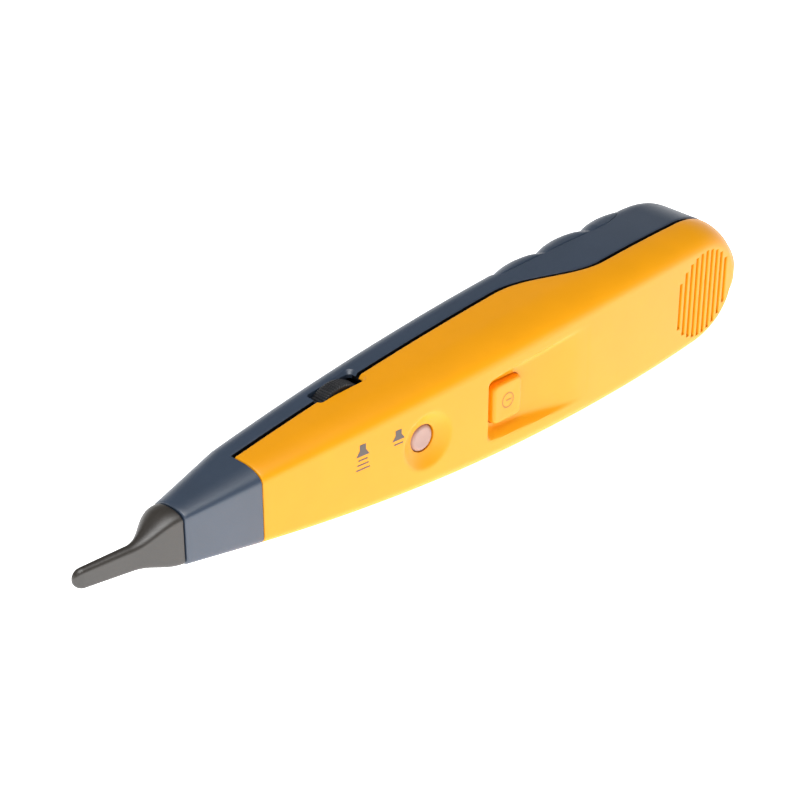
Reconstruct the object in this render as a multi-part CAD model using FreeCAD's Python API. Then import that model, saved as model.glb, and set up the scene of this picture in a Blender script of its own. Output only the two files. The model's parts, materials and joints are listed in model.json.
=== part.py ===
import FreeCAD, Part
import math
import os

V = FreeCAD.Vector

# Hand-held tone tracer probe, lying on its left side: tip towards -X, face with the keys towards -Y,
# finger grip towards +Y, right side up. Modelled from the tip (x = 0) about its middle plane (z = 0)
# and moved at the end so that it lies on z = 0 with the origin under the middle of its length.

# Drawing: chords to a quarter round inside the mouldings and on the tip, flat sides of small repeated
# rounds, of larger hidden turned pieces and of leads, and a reach beyond the housing for cutting blocks
INNER_CHORDS = 3
TIP_CHORDS = 4
SMALL_SIDES = 10
ROUND_SIDES = 30
LEAD_SIDES = 6
FAR = 60.0

# Wall and clearances
WALL = 2.0
FIT = 0.15
SEAM_GAP = 0.5
RIM_GAP = 0.35
KEY_GAP = 0.25
SHAFT_GAP = 0.05
WHEEL_GAP = 0.6
DOOR_GAP = 0.3
HEAD_GAP = 0.25
WELL_ROOM = 0.4

# Screws
SCREW_RADIUS = 1.2
SCREW_BITE = 6.0
HEAD_RADIUS = 2.1
HEAD_HEIGHT = 1.6
HEAD_SUNK = 0.8
HEAD_SEAT = 4.0
RECESS_LENGTH = 2.0
RECESS_WIDTH = 0.5
BOSS_RADIUS = 3.0
POST_WALL = 1.3
BOARD_SCREW_RADIUS = 1.0
BOARD_SCREW_BITE = 5.0
PILLAR_WALL = 0.8

# Battery with its snap connector, its well and the finger-lobed door
BATTERY_LENGTH = 46.4
BATTERY_WIDTH = 26.4
BATTERY_THICKNESS = 17.4
BATTERY_EDGE = 1.6
STUD_HEIGHT = 2.1
STUD_SPACING = 12.7
SMALL_STUD_RADIUS = 2.8
LARGE_STUD_RADIUS = 4.0
SNAP_THICKNESS = 3.2
SNAP_HALF_HEIGHT = 5.4
SNAP_MARGIN = 0.6
SNAP_CORNER = 2.4
WELL_BEHIND_DOOR = 1.4
WELL_WALL = 1.5
WELL_FLOOR_Y = -8.7
NOTCH_HALF_HEIGHT = 1.5
NOTCH_HALF_WIDTH = 6.0
DOOR_LOBES = 3
DOOR_SCREW_ROOM = 6.7
LOBE_HEIGHT = 2.2
LOBE_DIP = 1.3
LOBE_FULLNESS = 0.8
LOBE_PINCH = 0.35
DOOR_Y = 6.0
LEDGE = 2.0
LEDGE_REACH = 3.0
TAB_LENGTH = 3.0
TAB_WIDTH = 6.0
TAB_THICKNESS = 1.6
TAB_SPREAD = 9.0
FOAM_LENGTH = 16.0
FOAM_WIDTH = 16.0

# Board
BOARD_BEHIND_RIM = 14.0
BOARD_DROP = 13.0
BOARD_THICKNESS = 1.6
BOARD_LENGTH = 78.0
BOARD_TAPER = 46.0
BOARD_MARGIN = 1.6
BOARD_SCREW_FRONT = 5.0
BOARD_SCREW_REAR = 52.0
BOARD_SCREW_SPREAD = 10.5
CHIP_BACK = 55.0
CHIP_LENGTH = 10.0
CHIP_WIDTH = 6.0
CHIP_HEIGHT = 1.6
CAN_BACK = 66.0
CAN_RADIUS = 2.5
CAN_HEIGHT = 7.0
CAN_SPACING = 7.0

# Lengths along the body: tip, collar, then the shells round board, battery and loudspeaker
TIP_LENGTH = 30.6
COLLAR_LENGTH = 22.3
DOOR_BEHIND_BOARD = 17.5
END_BEHIND_DOOR = 25.0
COLLAR_FRONT = TIP_LENGTH
RIM = COLLAR_FRONT + COLLAR_LENGTH
BOARD_FRONT = RIM + BOARD_BEHIND_RIM
BOARD_REAR = BOARD_FRONT + BOARD_LENGTH
DOOR_FRONT = BOARD_REAR + DOOR_BEHIND_BOARD
WELL_FRONT = DOOR_FRONT + WELL_BEHIND_DOOR
SNAP_X = WELL_FRONT + WELL_ROOM
STUD_X = SNAP_X + SNAP_THICKNESS
CASE_X = STUD_X + STUD_HEIGHT
WELL_REAR = CASE_X + BATTERY_LENGTH + WELL_ROOM
DOOR_REAR = WELL_REAR + DOOR_SCREW_ROOM
LOBE_PITCH = (DOOR_REAR - DOOR_FRONT) / DOOR_LOBES
END = DOOR_REAR + END_BEHIND_DOOR

# Outline of the two shells
HALF_WIDTH = 20.3
WIDEST = END - 53.1
PLAN_RADIUS_FRONT = 1130.0
PLAN_RADIUS_REAR = 700.0
END_ROUND = 25.2
END_POWER = 2.15
FACE_DEPTH = 22.0
FACE_APEX = RIM + 94.0
FACE_RADIUS_FRONT = 670.0
FACE_RADIUS_REAR = 970.0
SHOULDER_WIDTH = 0.30
SHOULDER_DEPTH = 0.62
FACE_NOSE = 0.8
BACK_AT_RIM = 6.0
BACK_AT_REAR = 14.5
BACK_REAR = END - 26.1
BACK_BOW = 0.9
BACK_CORNER = 7.0
HEEL_RADIUS = 14.5
LEAST_FACE = 0.12
LEAST_BACK = 0.25
SKIN_STATIONS = 14
SKIN_END_ANGLES = (0, 16, 30, 42, 53, 62, 70, 77, 83, 87)
INNER_STATIONS = 6
INNER_END_ANGLES = (0, 30, 53, 70, 83)

# Parting line between the shells and the lip that crosses it
SEAM_AT_RIM = -4.2
SEAM_CREST = 0.3
SEAM_DIP = -9.1
SEAM_AT_END = -5.6
SEAM_BEND = DOOR_FRONT - 8.5
SEAM_BEND_LENGTH = 36.0
SEAM_PULL = 0.38
LIP_HEIGHT = 1.6
LIP_WALL = 0.9
LIP_BEHIND_RIM = 3.0

# Collar mouth and probe tip
MOUTH_RADIUS = 8.1
MOUTH_FLAT = 5.3
MOUTH_Y = -6.8
MOUTH_WAIST = 0.3
MOUTH_BACK_SHARE = 0.25
BLADE_HALF_WIDTH = 2.7
BLADE_THICKNESS = 2.8
BLADE_ROOT = 15.0
BLADE_SWELL = 0.3
TIP_STEP = 0.3
PLUG_LENGTH = 9.0
PIN_RADIUS = 1.0
PIN_IN_TIP = 7.0
PIN_LENGTH = 15.0

# Keys and their switches
KEY_TRAVEL = 0.6
SWITCH_SIZE = 6.0
SWITCH_HEIGHT = 3.5
PLUNGER_RADIUS = 1.75
PLUNGER_PROUD = 1.5
PLUNGER_IN = 1.6
STEM_RADIUS = 2.25
FLANGE = 1.2
FLANGE_OVER = 1.2
KEY_EDGE = 0.5
FILTER_AT = RIM + 53.9
FILTER_RADIUS = 3.9
FILTER_DROP = 2.0
DISH_RADIUS = 8.4
DISH_DEPTH = 3.0
POWER_AT = RIM + 85.0
POWER_LENGTH = 10.8
POWER_HALF_WIDTH = 6.2
POWER_DROP = 1.0
POWER_CORNER = 1.6
SCOOP_AHEAD = 8.9
SCOOP_LENGTH = 41.0
SCOOP_DEPTH = 3.2
SCOOP_HALF_FRONT = 7.2
SCOOP_HALF_REAR = 9.6
SCOOP_FLARE = 0.75
SCOOP_FRONT_FLARE = 0.3
SCOOP_CORNER = 2.6
SCOOP_STEP = 1.2

# Volume wheel and its potentiometer
WHEEL_AT = RIM + 38.0
WHEEL_RADIUS = 10.0
WHEEL_PROUD = 0.9
WHEEL_THICKNESS = 4.6
WHEEL_OVER_POT = 0.4
WHEEL_RIBS = 40
RIB_DEPTH = 0.35
HUB_SINK_RADIUS = 4.5
POT_SIZE = 11.0
POT_HEIGHT = 2.7
POT_FLOOR = 0.7
SHAFT_RADIUS = 3.0
SHAFT_SCREW_BITE = 2.7
SLOT_MOUTH = 18.0
SLOT_THROAT = 14.0

# Loudspeaker and grille
SPEAKER_AT = END - 22.0
SPEAKER_RADIUS = 12.0
SPEAKER_DROP = 3.4
GASKET = 1.0
GASKET_WIDTH = 1.8
BASKET_RIM = 1.0
BASKET_DEPTH = 3.2
BASKET_WALL = 0.7
MAGNET_RADIUS = 7.0
MAGNET_HEIGHT = 4.0
COIL_RADIUS = 3.6
CONE_DEPTH = 2.2
CONE_SHEET = 0.4
SURROUND_WIDTH = 1.6
TAG_REACH = 2.0
TAG_THICKNESS = 0.8
TAG_HALF_WIDTH = 4.0
CUP_WALL = 1.6
SLOTS = 10
SLOT_PITCH = 2.62
SLOT_WIDTH = 1.25
GRILLE_RADIUS = 13.2

# Leads
LEAD_RADIUS = 0.6
LEAD_TANGENT = 0.45

BOARD_FACE_Y = BOARD_DROP - FACE_DEPTH
BOARD_BACK_Y = BOARD_FACE_Y + BOARD_THICKNESS


def face_y(x):
    """Height of the face along its middle."""
    radius = FACE_RADIUS_FRONT if x < FACE_APEX else FACE_RADIUS_REAR
    return (x - FACE_APEX) ** 2 / (2.0 * radius) - FACE_DEPTH


def side_z(x):
    """Half width of the housing."""
    radius = PLAN_RADIUS_FRONT if x < WIDEST else PLAN_RADIUS_REAR
    return HALF_WIDTH - (x - WIDEST) ** 2 / (2.0 * radius)


def back_y(x):
    """Height of the back along its middle."""
    t = (x - RIM) / (BACK_REAR - RIM)
    level = BACK_AT_RIM + (BACK_AT_REAR - BACK_AT_RIM) * min(t, 1.0)
    return level + 4.0 * BACK_BOW * max(t * (1.0 - t), 0.0)


def rounded(x, start, reach):
    """Share of the full width that is left at x on the rounded rear end."""
    t = min(max((x - start) / reach, 0.0), 0.9999)
    return (1.0 - t ** END_POWER) ** (1.0 / END_POWER)


def dome(x, start, radius):
    """Drop of a quarter round that begins at start, as a share of its radius."""
    t = min(max((x - start) / radius, 0.0), 0.9999)
    return 1.0 - math.sqrt(1.0 - t * t)


def corner(x, y0, z0, y1, z1, along_z, chords):
    """Quarter ellipse from (y0, z0) to (y1, z1) that leaves along Z or along Y, smooth or in chords."""
    if chords:
        points = []
        for i in range(chords + 1):
            turn = 0.5 * math.pi * i / chords
            rise, run = math.sin(turn), 1.0 - math.cos(turn)
            near, far = (run, rise) if along_z else (rise, run)
            points.append(V(x, y0 + (y1 - y0) * near, z0 + (z1 - z0) * far))
        return [Part.makeLine(a, b) for a, b in zip(points, points[1:])]
    pull = 0.5523
    near = V(x, y0, z0 + pull * (z1 - z0))
    far = V(x, y1 - pull * (y1 - y0), z1)
    if not along_z:
        near = V(x, y0 + pull * (y1 - y0), z0)
        far = V(x, y1, z1 - pull * (z1 - z0))
    curve = Part.BezierCurve()
    curve.setPoles([V(x, y0, z0), near, far, V(x, y1, z1)])
    return [curve.toShape()]


def ring(x, front, flat, side, waist, waist_end, back, back_flat, chords):
    """Closed section: flat face, shoulders, straight sides, rounded back corners and flat back."""
    edges = [Part.makeLine(V(x, front, -flat), V(x, front, flat))]
    edges += corner(x, front, flat, waist, side, True, chords)
    edges.append(Part.makeLine(V(x, waist, side), V(x, waist_end, side)))
    edges += corner(x, waist_end, side, back, back_flat, False, chords)
    edges.append(Part.makeLine(V(x, back, back_flat), V(x, back, -back_flat)))
    edges += corner(x, back, -back_flat, waist_end, -side, True, chords)
    edges.append(Part.makeLine(V(x, waist_end, -side), V(x, waist, -side)))
    edges += corner(x, waist, -side, front, -flat, False, chords)
    return Part.Wire(edges)


def section(x, inset=0.0, swell=0.0, chords=0):
    """Section of the housing at x, drawn in by inset, its back raised by swell."""
    start = END - END_ROUND
    wide = side_z(min(x, start))
    shoulder = SHOULDER_WIDTH * wide
    side = (wide - inset) * rounded(x, start, END_ROUND - inset)
    flat = (wide - shoulder - 0.4 * inset) * rounded(x, start, END_ROUND - shoulder - inset)
    flat = max(flat, LEAST_FACE * side)
    depth = SHOULDER_DEPTH * wide
    waist = face_y(x) + depth
    fall = FACE_NOSE * (depth - inset)
    front = face_y(x) + inset + fall * dome(x, END - shoulder - inset, shoulder)
    heel = HEEL_RADIUS - inset
    back = back_y(x) - inset + swell - heel * dome(x, END - HEEL_RADIUS, heel)
    round_off = min(BACK_CORNER - 0.5 * inset, 0.85 * (back - waist))
    back_flat = max(side - round_off, LEAST_BACK * side)
    side = side - LOBE_PINCH * max(-swell, 0.0)
    return ring(x, front, flat, side, waist, back - round_off, back, back_flat, chords)


def mouth(x, inset=0.0, chords=0):
    """D-shaped section of the collar mouth."""
    radius = MOUTH_RADIUS - inset
    flat = math.sqrt(MOUTH_RADIUS ** 2 - MOUTH_FLAT ** 2) - 0.5 * inset
    front = MOUTH_Y - MOUTH_FLAT + inset
    return ring(x, front, flat, radius, MOUTH_Y - MOUTH_WAIST, MOUTH_Y + MOUTH_WAIST,
                MOUTH_Y + radius, MOUTH_BACK_SHARE * radius, chords)


def body(inset, stations, end_angles, chords):
    """Solid inside the housing's surface from the rim to the rear end, drawn in by inset."""
    start = END - END_ROUND
    stops = [RIM + (start - RIM) * i / stations for i in range(stations)]
    for angle in end_angles:
        stops.append(start + (END_ROUND - inset) * math.sin(math.radians(angle)) ** (2.0 / END_POWER))
    return Part.makeLoft([section(x, inset, 0.0, chords) for x in stops], True, True)


def hollow(inset):
    """Plainer solid of the same form for the surfaces inside the walls."""
    return body(inset, INNER_STATIONS, INNER_END_ANGLES, INNER_CHORDS)


def box(x0, x1, y0, y1, z0, z1):
    return Part.makeBox(x1 - x0, y1 - y0, z1 - z0, V(x0, y0, z0))


def polygon(x, y, z, radius, sides):
    """Regular outline about a Y axis."""
    points = []
    for i in range(sides + 1):
        turn = 2.0 * math.pi * (i + 0.5) / sides
        points.append(V(x + radius * math.cos(turn), y, z + radius * math.sin(turn)))
    return Part.makePolygon(points)


def rod(x, z, radius, y0, y1, sides=0):
    """Bar along Y, round or with flat sides."""
    if sides:
        return Part.Face(polygon(x, y0, z, radius, sides)).extrude(V(0, y1 - y0, 0))
    return Part.makeCylinder(radius, y1 - y0, V(x, y0, z), V(0, 1, 0))


def turned(x, outline):
    """Piece turned about the Y axis at x from a closed outline of (radius, y) points, with flat sides."""
    faces = []
    for (radius0, y0), (radius1, y1) in zip(outline, outline[1:] + outline[:1]):
        for i in range(ROUND_SIDES):
            points = []
            corners = ((radius0, y0, i), (radius0, y0, i + 1), (radius1, y1, i + 1), (radius1, y1, i))
            for radius, y, step in corners:
                turn = 2.0 * math.pi * (step + 0.5) / ROUND_SIDES
                point = V(x + radius * math.cos(turn), y, radius * math.sin(turn))
                if not points or min(point.distanceToPoint(other) for other in points) > 1e-6:
                    points.append(point)
            if len(points) > 2:
                faces.append(Part.Face(Part.makePolygon(points + points[:1])))
    solid = Part.Solid(Part.Shell(faces))
    return solid if solid.Volume > 0.0 else solid.reversed()


def prism(edges):
    """Solid drawn right across the housing from a closed outline at z = -FAR."""
    return Part.Face(Part.Wire(edges)).extrude(V(0, 0, 2.0 * FAR))


def lead(points):
    """Plain lead along straight runs joined by tangent arcs."""
    stops = [V(*point) for point in points]
    edges = []
    here = stops[0]
    for before, turn_point, after in zip(stops, stops[1:], stops[2:]):
        back = before - turn_point
        ahead = after - turn_point
        tangent = LEAD_TANGENT * min(back.Length, ahead.Length)
        half_turn = 0.5 * (math.pi - back.getAngle(ahead))
        radius = tangent / math.tan(half_turn)
        back.normalize()
        ahead.normalize()
        inward = (back + ahead).normalize()
        start = turn_point + back * tangent
        finish = turn_point + ahead * tangent
        middle = turn_point + inward * (radius / math.cos(half_turn) - radius)
        edges.append(Part.makeLine(here, start))
        edges.append(Part.Arc(start, middle, finish).toShape())
        here = finish
    edges.append(Part.makeLine(here, stops[-1]))
    outline = polygon(0, 0, 0, LEAD_RADIUS, LEAD_SIDES)
    outline.Placement = FreeCAD.Placement(stops[0], FreeCAD.Rotation(V(0, 1, 0), stops[1] - stops[0]))
    return Part.Wire(edges).makePipeShell([outline], True, False)


def seam_bend(shift, z):
    """Curve of the parting line between its two straight runs."""
    slope = (SEAM_CREST - SEAM_AT_RIM) / (SEAM_BEND - RIM)
    crest = V(SEAM_BEND, SEAM_CREST + shift, z)
    dip = V(SEAM_BEND + SEAM_BEND_LENGTH, SEAM_DIP + shift, z)
    rear_slope = (SEAM_AT_END - SEAM_DIP) / (END - dip.x)
    pull = SEAM_PULL * SEAM_BEND_LENGTH
    bend = Part.BezierCurve()
    bend.setPoles([crest, crest + V(pull, slope * pull, 0), dip - V(pull, rear_slope * pull, 0), dip])
    return bend


def seam_y(x):
    """Height of the parting line at x."""
    bend = seam_bend(0.0, 0.0)
    crest, before, after, dip = bend.getPoles()
    if x < crest.x:
        return crest.y + (x - crest.x) * (before.y - crest.y) / (before.x - crest.x)
    if x > dip.x:
        return dip.y + (x - dip.x) * (dip.y - after.y) / (dip.x - after.x)
    level = Part.makeLine(V(x, -FAR, 0), V(x, FAR, 0))
    return bend.toShape().distToShape(level)[1][0][0].y


def seam_region(towards_face, shift):
    """Everything on one side of the parting line, the line moved by shift towards the back."""
    sign = -1.0 if towards_face else 1.0
    bend = seam_bend(shift, -FAR)
    crest, before, after, dip = bend.getPoles()
    lead_in = crest + (crest - before) * ((crest.x - RIM + FAR) / (before.x - crest.x))
    tail = dip + (dip - after) * ((END - dip.x + FAR) / (dip.x - after.x))
    far_tail = V(tail.x, sign * FAR, -FAR)
    far_lead = V(lead_in.x, sign * FAR, -FAR)
    edges = [Part.makeLine(lead_in, crest), bend.toShape(), Part.makeLine(dip, tail)]
    edges.append(Part.makeLine(tail, far_tail))
    edges.append(Part.makeLine(far_tail, far_lead))
    edges.append(Part.makeLine(far_lead, lead_in))
    return prism(edges)


def screw(x, z, head_y, tip_y, radius, head_radius):
    """Pan-head screw along Y, head towards the back, with a cross recess."""
    shank = rod(x, z, radius, tip_y, head_y, SMALL_SIDES)
    head = rod(x, z, head_radius, head_y, head_y + HEAD_HEIGHT, SMALL_SIDES)
    length = 0.5 * RECESS_LENGTH
    width = 0.5 * RECESS_WIDTH
    floor = head_y + 0.5 * HEAD_HEIGHT
    cross = box(x - length, x + length, floor, head_y + FAR, z - width, z + width)
    cross = cross.fuse(box(x - width, x + width, floor, head_y + FAR, z - length, z + length))
    return shank.fuse(head).cut(cross)


def rounded_plan(x0, x1, half0, half1, radius, y):
    """Plan outline with two rounded front corners, narrow in front and wider behind."""
    a = V(x0, y, -half0 + radius)
    b = V(x0, y, half0 - radius)
    c = V(x0 + radius, y, half0)
    d = V(x1, y, half1)
    e = V(x1, y, -half1)
    f = V(x0 + radius, y, -half0)
    middle = radius * (1.0 - math.sqrt(0.5))
    edges = [Part.makeLine(a, b)]
    edges.append(Part.Arc(b, V(x0 + middle, y, half0 - middle), c).toShape())
    edges.append(Part.makeLine(c, d))
    edges.append(Part.makeLine(d, e))
    edges.append(Part.makeLine(e, f))
    edges.append(Part.Arc(f, V(x0 + middle, y, -half0 + middle), a).toShape())
    return Part.Wire(edges)


def scoop(grow):
    """Thumb scoop around the power key, deepest in front and running out behind, enlarged by grow."""
    front = POWER_AT - SCOOP_AHEAD - grow
    rear = POWER_AT - SCOOP_AHEAD + SCOOP_LENGTH + grow
    floor = face_y(front) + SCOOP_DEPTH + grow
    top = -FACE_DEPTH - SCOOP_DEPTH
    wider = SCOOP_FLARE * (floor - top)
    start = front + SCOOP_STEP
    half_front = SCOOP_HALF_FRONT + grow
    half_rear = SCOOP_HALF_REAR + grow
    low = rounded_plan(start, rear, half_front, half_rear, SCOOP_CORNER, floor)
    high = rounded_plan(start - SCOOP_FRONT_FLARE * wider, rear, half_front + wider, half_rear + wider,
                        SCOOP_CORNER + 0.5 * wider, top)
    basin = Part.makeLoft([low, high], True, True)
    out = face_y(rear) - 0.1
    run = Part.BezierCurve()
    run.setPoles([V(front, floor, -FAR), V(front + 0.5 * SCOOP_LENGTH, floor, -FAR),
                  V(rear - 0.25 * SCOOP_LENGTH, out + grow, -FAR), V(rear, out, -FAR)])
    rear_top = V(rear, top - 1.0, -FAR)
    front_top = V(front, top - 1.0, -FAR)
    edges = [run.toShape()]
    edges.append(Part.makeLine(V(rear, out, -FAR), rear_top))
    edges.append(Part.makeLine(rear_top, front_top))
    edges.append(Part.makeLine(front_top, V(front, floor, -FAR)))
    return basin.common(prism(edges))


def key_block(grow, y0, y1):
    """Rounded rectangular block of the power key."""
    half = 0.5 * POWER_LENGTH + grow
    wide = POWER_HALF_WIDTH + grow
    block = box(POWER_AT - half, POWER_AT + half, y0, y1, -wide, wide)
    upright = [e for e in block.Edges if abs(e.Vertexes[0].Point.y - e.Vertexes[-1].Point.y) > 0.5]
    return block.makeFillet(POWER_CORNER + grow, upright)


def edges_at(shape, y):
    """Edges of a shape that lie at one height."""
    return [e for e in shape.Edges if abs(e.BoundBox.YMin - y) + abs(e.BoundBox.YMax - y) < 0.01]


# Housing solids
outer = body(0.0, SKIN_STATIONS, SKIN_END_ANGLES, 0)
inner = hollow(WALL)
tongue = hollow(WALL - LIP_WALL)
groove = hollow(WALL - LIP_WALL - FIT)
walls = outer.cut(inner)

# Case screws: one behind the collar, two between board and battery, two under the rear end of the door
CASE_FRONT = RIM + 7.0
CASE_MIDDLE = BOARD_REAR + BOSS_RADIUS + 2.1
CASE_MIDDLE_SPREAD = 10.4
CASE_REAR = DOOR_REAR - 1.6
CASE_REAR_SPREAD = 13.2
CASE_SPOTS = [(CASE_FRONT, 0.0)]
for side in (-1.0, 1.0):
    CASE_SPOTS.append((CASE_MIDDLE, side * CASE_MIDDLE_SPREAD))
    CASE_SPOTS.append((CASE_REAR, side * CASE_REAR_SPREAD))
case_screws = []
for x, z in CASE_SPOTS:
    case_screws.append(screw(x, z, seam_y(x) + HEAD_SEAT, seam_y(x) - SCREW_BITE, SCREW_RADIUS, HEAD_RADIUS))

# Volume wheel on the shaft of its potentiometer, and the slot that it looks out of
wheel_z = side_z(WHEEL_AT) + WHEEL_PROUD - WHEEL_RADIUS
wheel_y0 = BOARD_BACK_Y + POT_HEIGHT + WHEEL_OVER_POT
wheel_y1 = wheel_y0 + WHEEL_THICKNESS
hub_y = wheel_y1 - HEAD_HEIGHT
rim_points = []
for i in range(2 * WHEEL_RIBS):
    turn = math.pi * i / WHEEL_RIBS
    radius = WHEEL_RADIUS - RIB_DEPTH * (i % 2)
    rim_points.append(V(WHEEL_AT + radius * math.cos(turn), wheel_y0, wheel_z + radius * math.sin(turn)))
volume_wheel = Part.Face(Part.makePolygon(rim_points + rim_points[:1])).extrude(V(0, WHEEL_THICKNESS, 0))
volume_wheel = volume_wheel.cut([rod(WHEEL_AT, wheel_z, SHAFT_RADIUS, wheel_y0 - FAR, hub_y),
                                 rod(WHEEL_AT, wheel_z, HUB_SINK_RADIUS, hub_y, wheel_y1 + FAR)])
pot_floor = BOARD_BACK_Y + POT_FLOOR
shaft_screw_y = hub_y - SHAFT_SCREW_BITE
pot_shaft = rod(WHEEL_AT, wheel_z, SHAFT_RADIUS, pot_floor + SHAFT_GAP, hub_y)
pot_shaft = pot_shaft.cut(rod(WHEEL_AT, wheel_z, BOARD_SCREW_RADIUS, shaft_screw_y, wheel_y1, SMALL_SIDES))
wheel_screw = screw(WHEEL_AT, wheel_z, hub_y, shaft_screw_y, BOARD_SCREW_RADIUS, 2.0 * BOARD_SCREW_RADIUS)
half_pot = 0.5 * POT_SIZE
volume_pot = box(WHEEL_AT - half_pot, WHEEL_AT + half_pot, BOARD_BACK_Y, BOARD_BACK_Y + POT_HEIGHT,
                 wheel_z - half_pot, wheel_z + half_pot)
volume_pot = volume_pot.cut(rod(WHEEL_AT, wheel_z, SHAFT_RADIUS + SHAFT_GAP, pot_floor, wheel_y1))
slot_low = wheel_y0 - WHEEL_GAP
slot_high = wheel_y1 + WHEEL_GAP
slot_side = side_z(WHEEL_AT)
half_slot = []
for across, z in ((SLOT_THROAT, wheel_z), (SLOT_THROAT, slot_side - WALL), (SLOT_MOUTH, slot_side),
                  (SLOT_MOUTH, slot_side + WALL)):
    half_slot.append((0.5 * across, z))
slot_points = [V(WHEEL_AT + across, slot_low, z) for across, z in half_slot]
slot_points += [V(WHEEL_AT - across, slot_low, z) for across, z in reversed(half_slot)]
wheel_slot = Part.Face(Part.makePolygon(slot_points + slot_points[:1])).extrude(V(0, slot_high - slot_low, 0))
wheel_room = rod(WHEEL_AT, wheel_z, WHEEL_RADIUS + WHEEL_GAP, slot_low, slot_high, ROUND_SIDES)
wheel_slot = wheel_slot.fuse(wheel_room)

# Keys: seats in the face, caps with a flange behind the face, and the switches on the board
switch_top = BOARD_FACE_Y - SWITCH_HEIGHT
plunger_top = switch_top - PLUNGER_PROUD
dish_sphere = (DISH_RADIUS ** 2 + DISH_DEPTH ** 2) / (2.0 * DISH_DEPTH)
dish_floor = face_y(FILTER_AT) + DISH_DEPTH
dish_centre = V(FILTER_AT, dish_floor - dish_sphere, 0)
filter_seat = dish_floor + WALL
filter_top = face_y(FILTER_AT) + FILTER_DROP
filter_flange = filter_seat + KEY_GAP
filter_button = rod(FILTER_AT, 0, FILTER_RADIUS, filter_top, filter_flange)
filter_button = filter_button.makeChamfer(KEY_EDGE, edges_at(filter_button, filter_top))
filter_button = filter_button.fuse([
    rod(FILTER_AT, 0, FILTER_RADIUS + FLANGE_OVER, filter_flange, filter_flange + FLANGE),
    rod(FILTER_AT, 0, STEM_RADIUS, filter_flange + FLANGE, plunger_top)])
power_seat = face_y(POWER_AT - SCOOP_AHEAD) + SCOOP_DEPTH + WALL
power_top = face_y(POWER_AT) + POWER_DROP
power_flange = power_seat + KEY_GAP
power_button = key_block(0.0, power_top, power_flange)
power_button = power_button.makeChamfer(KEY_EDGE, edges_at(power_button, power_top))
power_button = power_button.fuse([
    key_block(FLANGE_OVER, power_flange, power_flange + FLANGE),
    rod(POWER_AT, 0, STEM_RADIUS, power_flange + FLANGE, plunger_top)])


def switch_body(x):
    """Switch case with the bore of its plunger."""
    half = 0.5 * SWITCH_SIZE
    bore_end = switch_top + PLUNGER_IN + KEY_TRAVEL + KEY_GAP
    case = box(x - half, x + half, switch_top, BOARD_FACE_Y, -half, half)
    return case.cut(rod(x, 0, PLUNGER_RADIUS + SHAFT_GAP, switch_top - 1.0, bore_end))


def plunger(x):
    """Plunger that the key rests on."""
    return rod(x, 0, PLUNGER_RADIUS, plunger_top, switch_top + PLUNGER_IN)


# Board with its fixing screws, amplifier and capacitors
board_half_front = side_z(BOARD_FRONT) - WALL - BOARD_MARGIN
board_half = side_z(BOARD_FRONT + BOARD_TAPER) - WALL - BOARD_MARGIN
half_board = [(BOARD_FRONT, board_half_front)]
half_board += [(x, board_half) for x in (BOARD_FRONT + BOARD_TAPER, BOARD_REAR)]
board_points = [V(x, BOARD_FACE_Y, z) for x, z in half_board]
board_points += [V(x, BOARD_FACE_Y, -z) for x, z in reversed(half_board)]
main_board = Part.Face(Part.makePolygon(board_points + board_points[:1])).extrude(V(0, BOARD_THICKNESS, 0))
BOARD_SPOTS = [(BOARD_FRONT + BOARD_SCREW_FRONT, 0.0)]
for side in (-1.0, 1.0):
    BOARD_SPOTS.append((BOARD_FRONT + BOARD_SCREW_REAR, side * BOARD_SCREW_SPREAD))
board_screws = []
for x, z in BOARD_SPOTS:
    main_board = main_board.cut(rod(x, z, BOARD_SCREW_RADIUS + FIT, -FAR, FAR, SMALL_SIDES))
    board_screws.append(screw(x, z, BOARD_BACK_Y, BOARD_FACE_Y - BOARD_SCREW_BITE, BOARD_SCREW_RADIUS,
                              2.0 * BOARD_SCREW_RADIUS))
chip_x = BOARD_FRONT + CHIP_BACK
amplifier_chip = box(chip_x - 0.5 * CHIP_LENGTH, chip_x + 0.5 * CHIP_LENGTH, BOARD_BACK_Y,
                     BOARD_BACK_Y + CHIP_HEIGHT, -0.5 * CHIP_WIDTH, 0.5 * CHIP_WIDTH)
capacitors = []
for i in (-1.0, 0.0, 1.0):
    capacitors.append(rod(BOARD_FRONT + CAN_BACK, i * CAN_SPACING, CAN_RADIUS, BOARD_BACK_Y,
                          BOARD_BACK_Y + CAN_HEIGHT, 2 * SMALL_SIDES))

# Loudspeaker: gasket, basket with its solder tag, cone and magnet
speaker_seat = face_y(SPEAKER_AT) + SPEAKER_DROP
basket_y = speaker_seat + GASKET
flare_y = basket_y + BASKET_RIM
basket_end = flare_y + BASKET_DEPTH
opening = SPEAKER_RADIUS - GASKET_WIDTH
speaker_gasket = turned(SPEAKER_AT, [(opening, speaker_seat), (SPEAKER_RADIUS, speaker_seat),
                                     (SPEAKER_RADIUS, basket_y), (opening, basket_y)])
speaker_basket = turned(SPEAKER_AT, [
    (opening, basket_y), (SPEAKER_RADIUS, basket_y), (SPEAKER_RADIUS, flare_y),
    (opening + BASKET_WALL, flare_y), (MAGNET_RADIUS, basket_end), (0.0, basket_end),
    (0.0, basket_end - BASKET_WALL),
    (MAGNET_RADIUS - BASKET_WALL, basket_end - BASKET_WALL), (opening, flare_y)])
tag_front = SPEAKER_AT - SPEAKER_RADIUS - TAG_REACH
tag_y = flare_y
speaker_basket = speaker_basket.fuse(box(tag_front, SPEAKER_AT - opening - BASKET_WALL, tag_y,
                                         tag_y + TAG_THICKNESS, -TAG_HALF_WIDTH, TAG_HALF_WIDTH))
surround = opening - SURROUND_WIDTH
cone_end = basket_y + CONE_DEPTH
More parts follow.
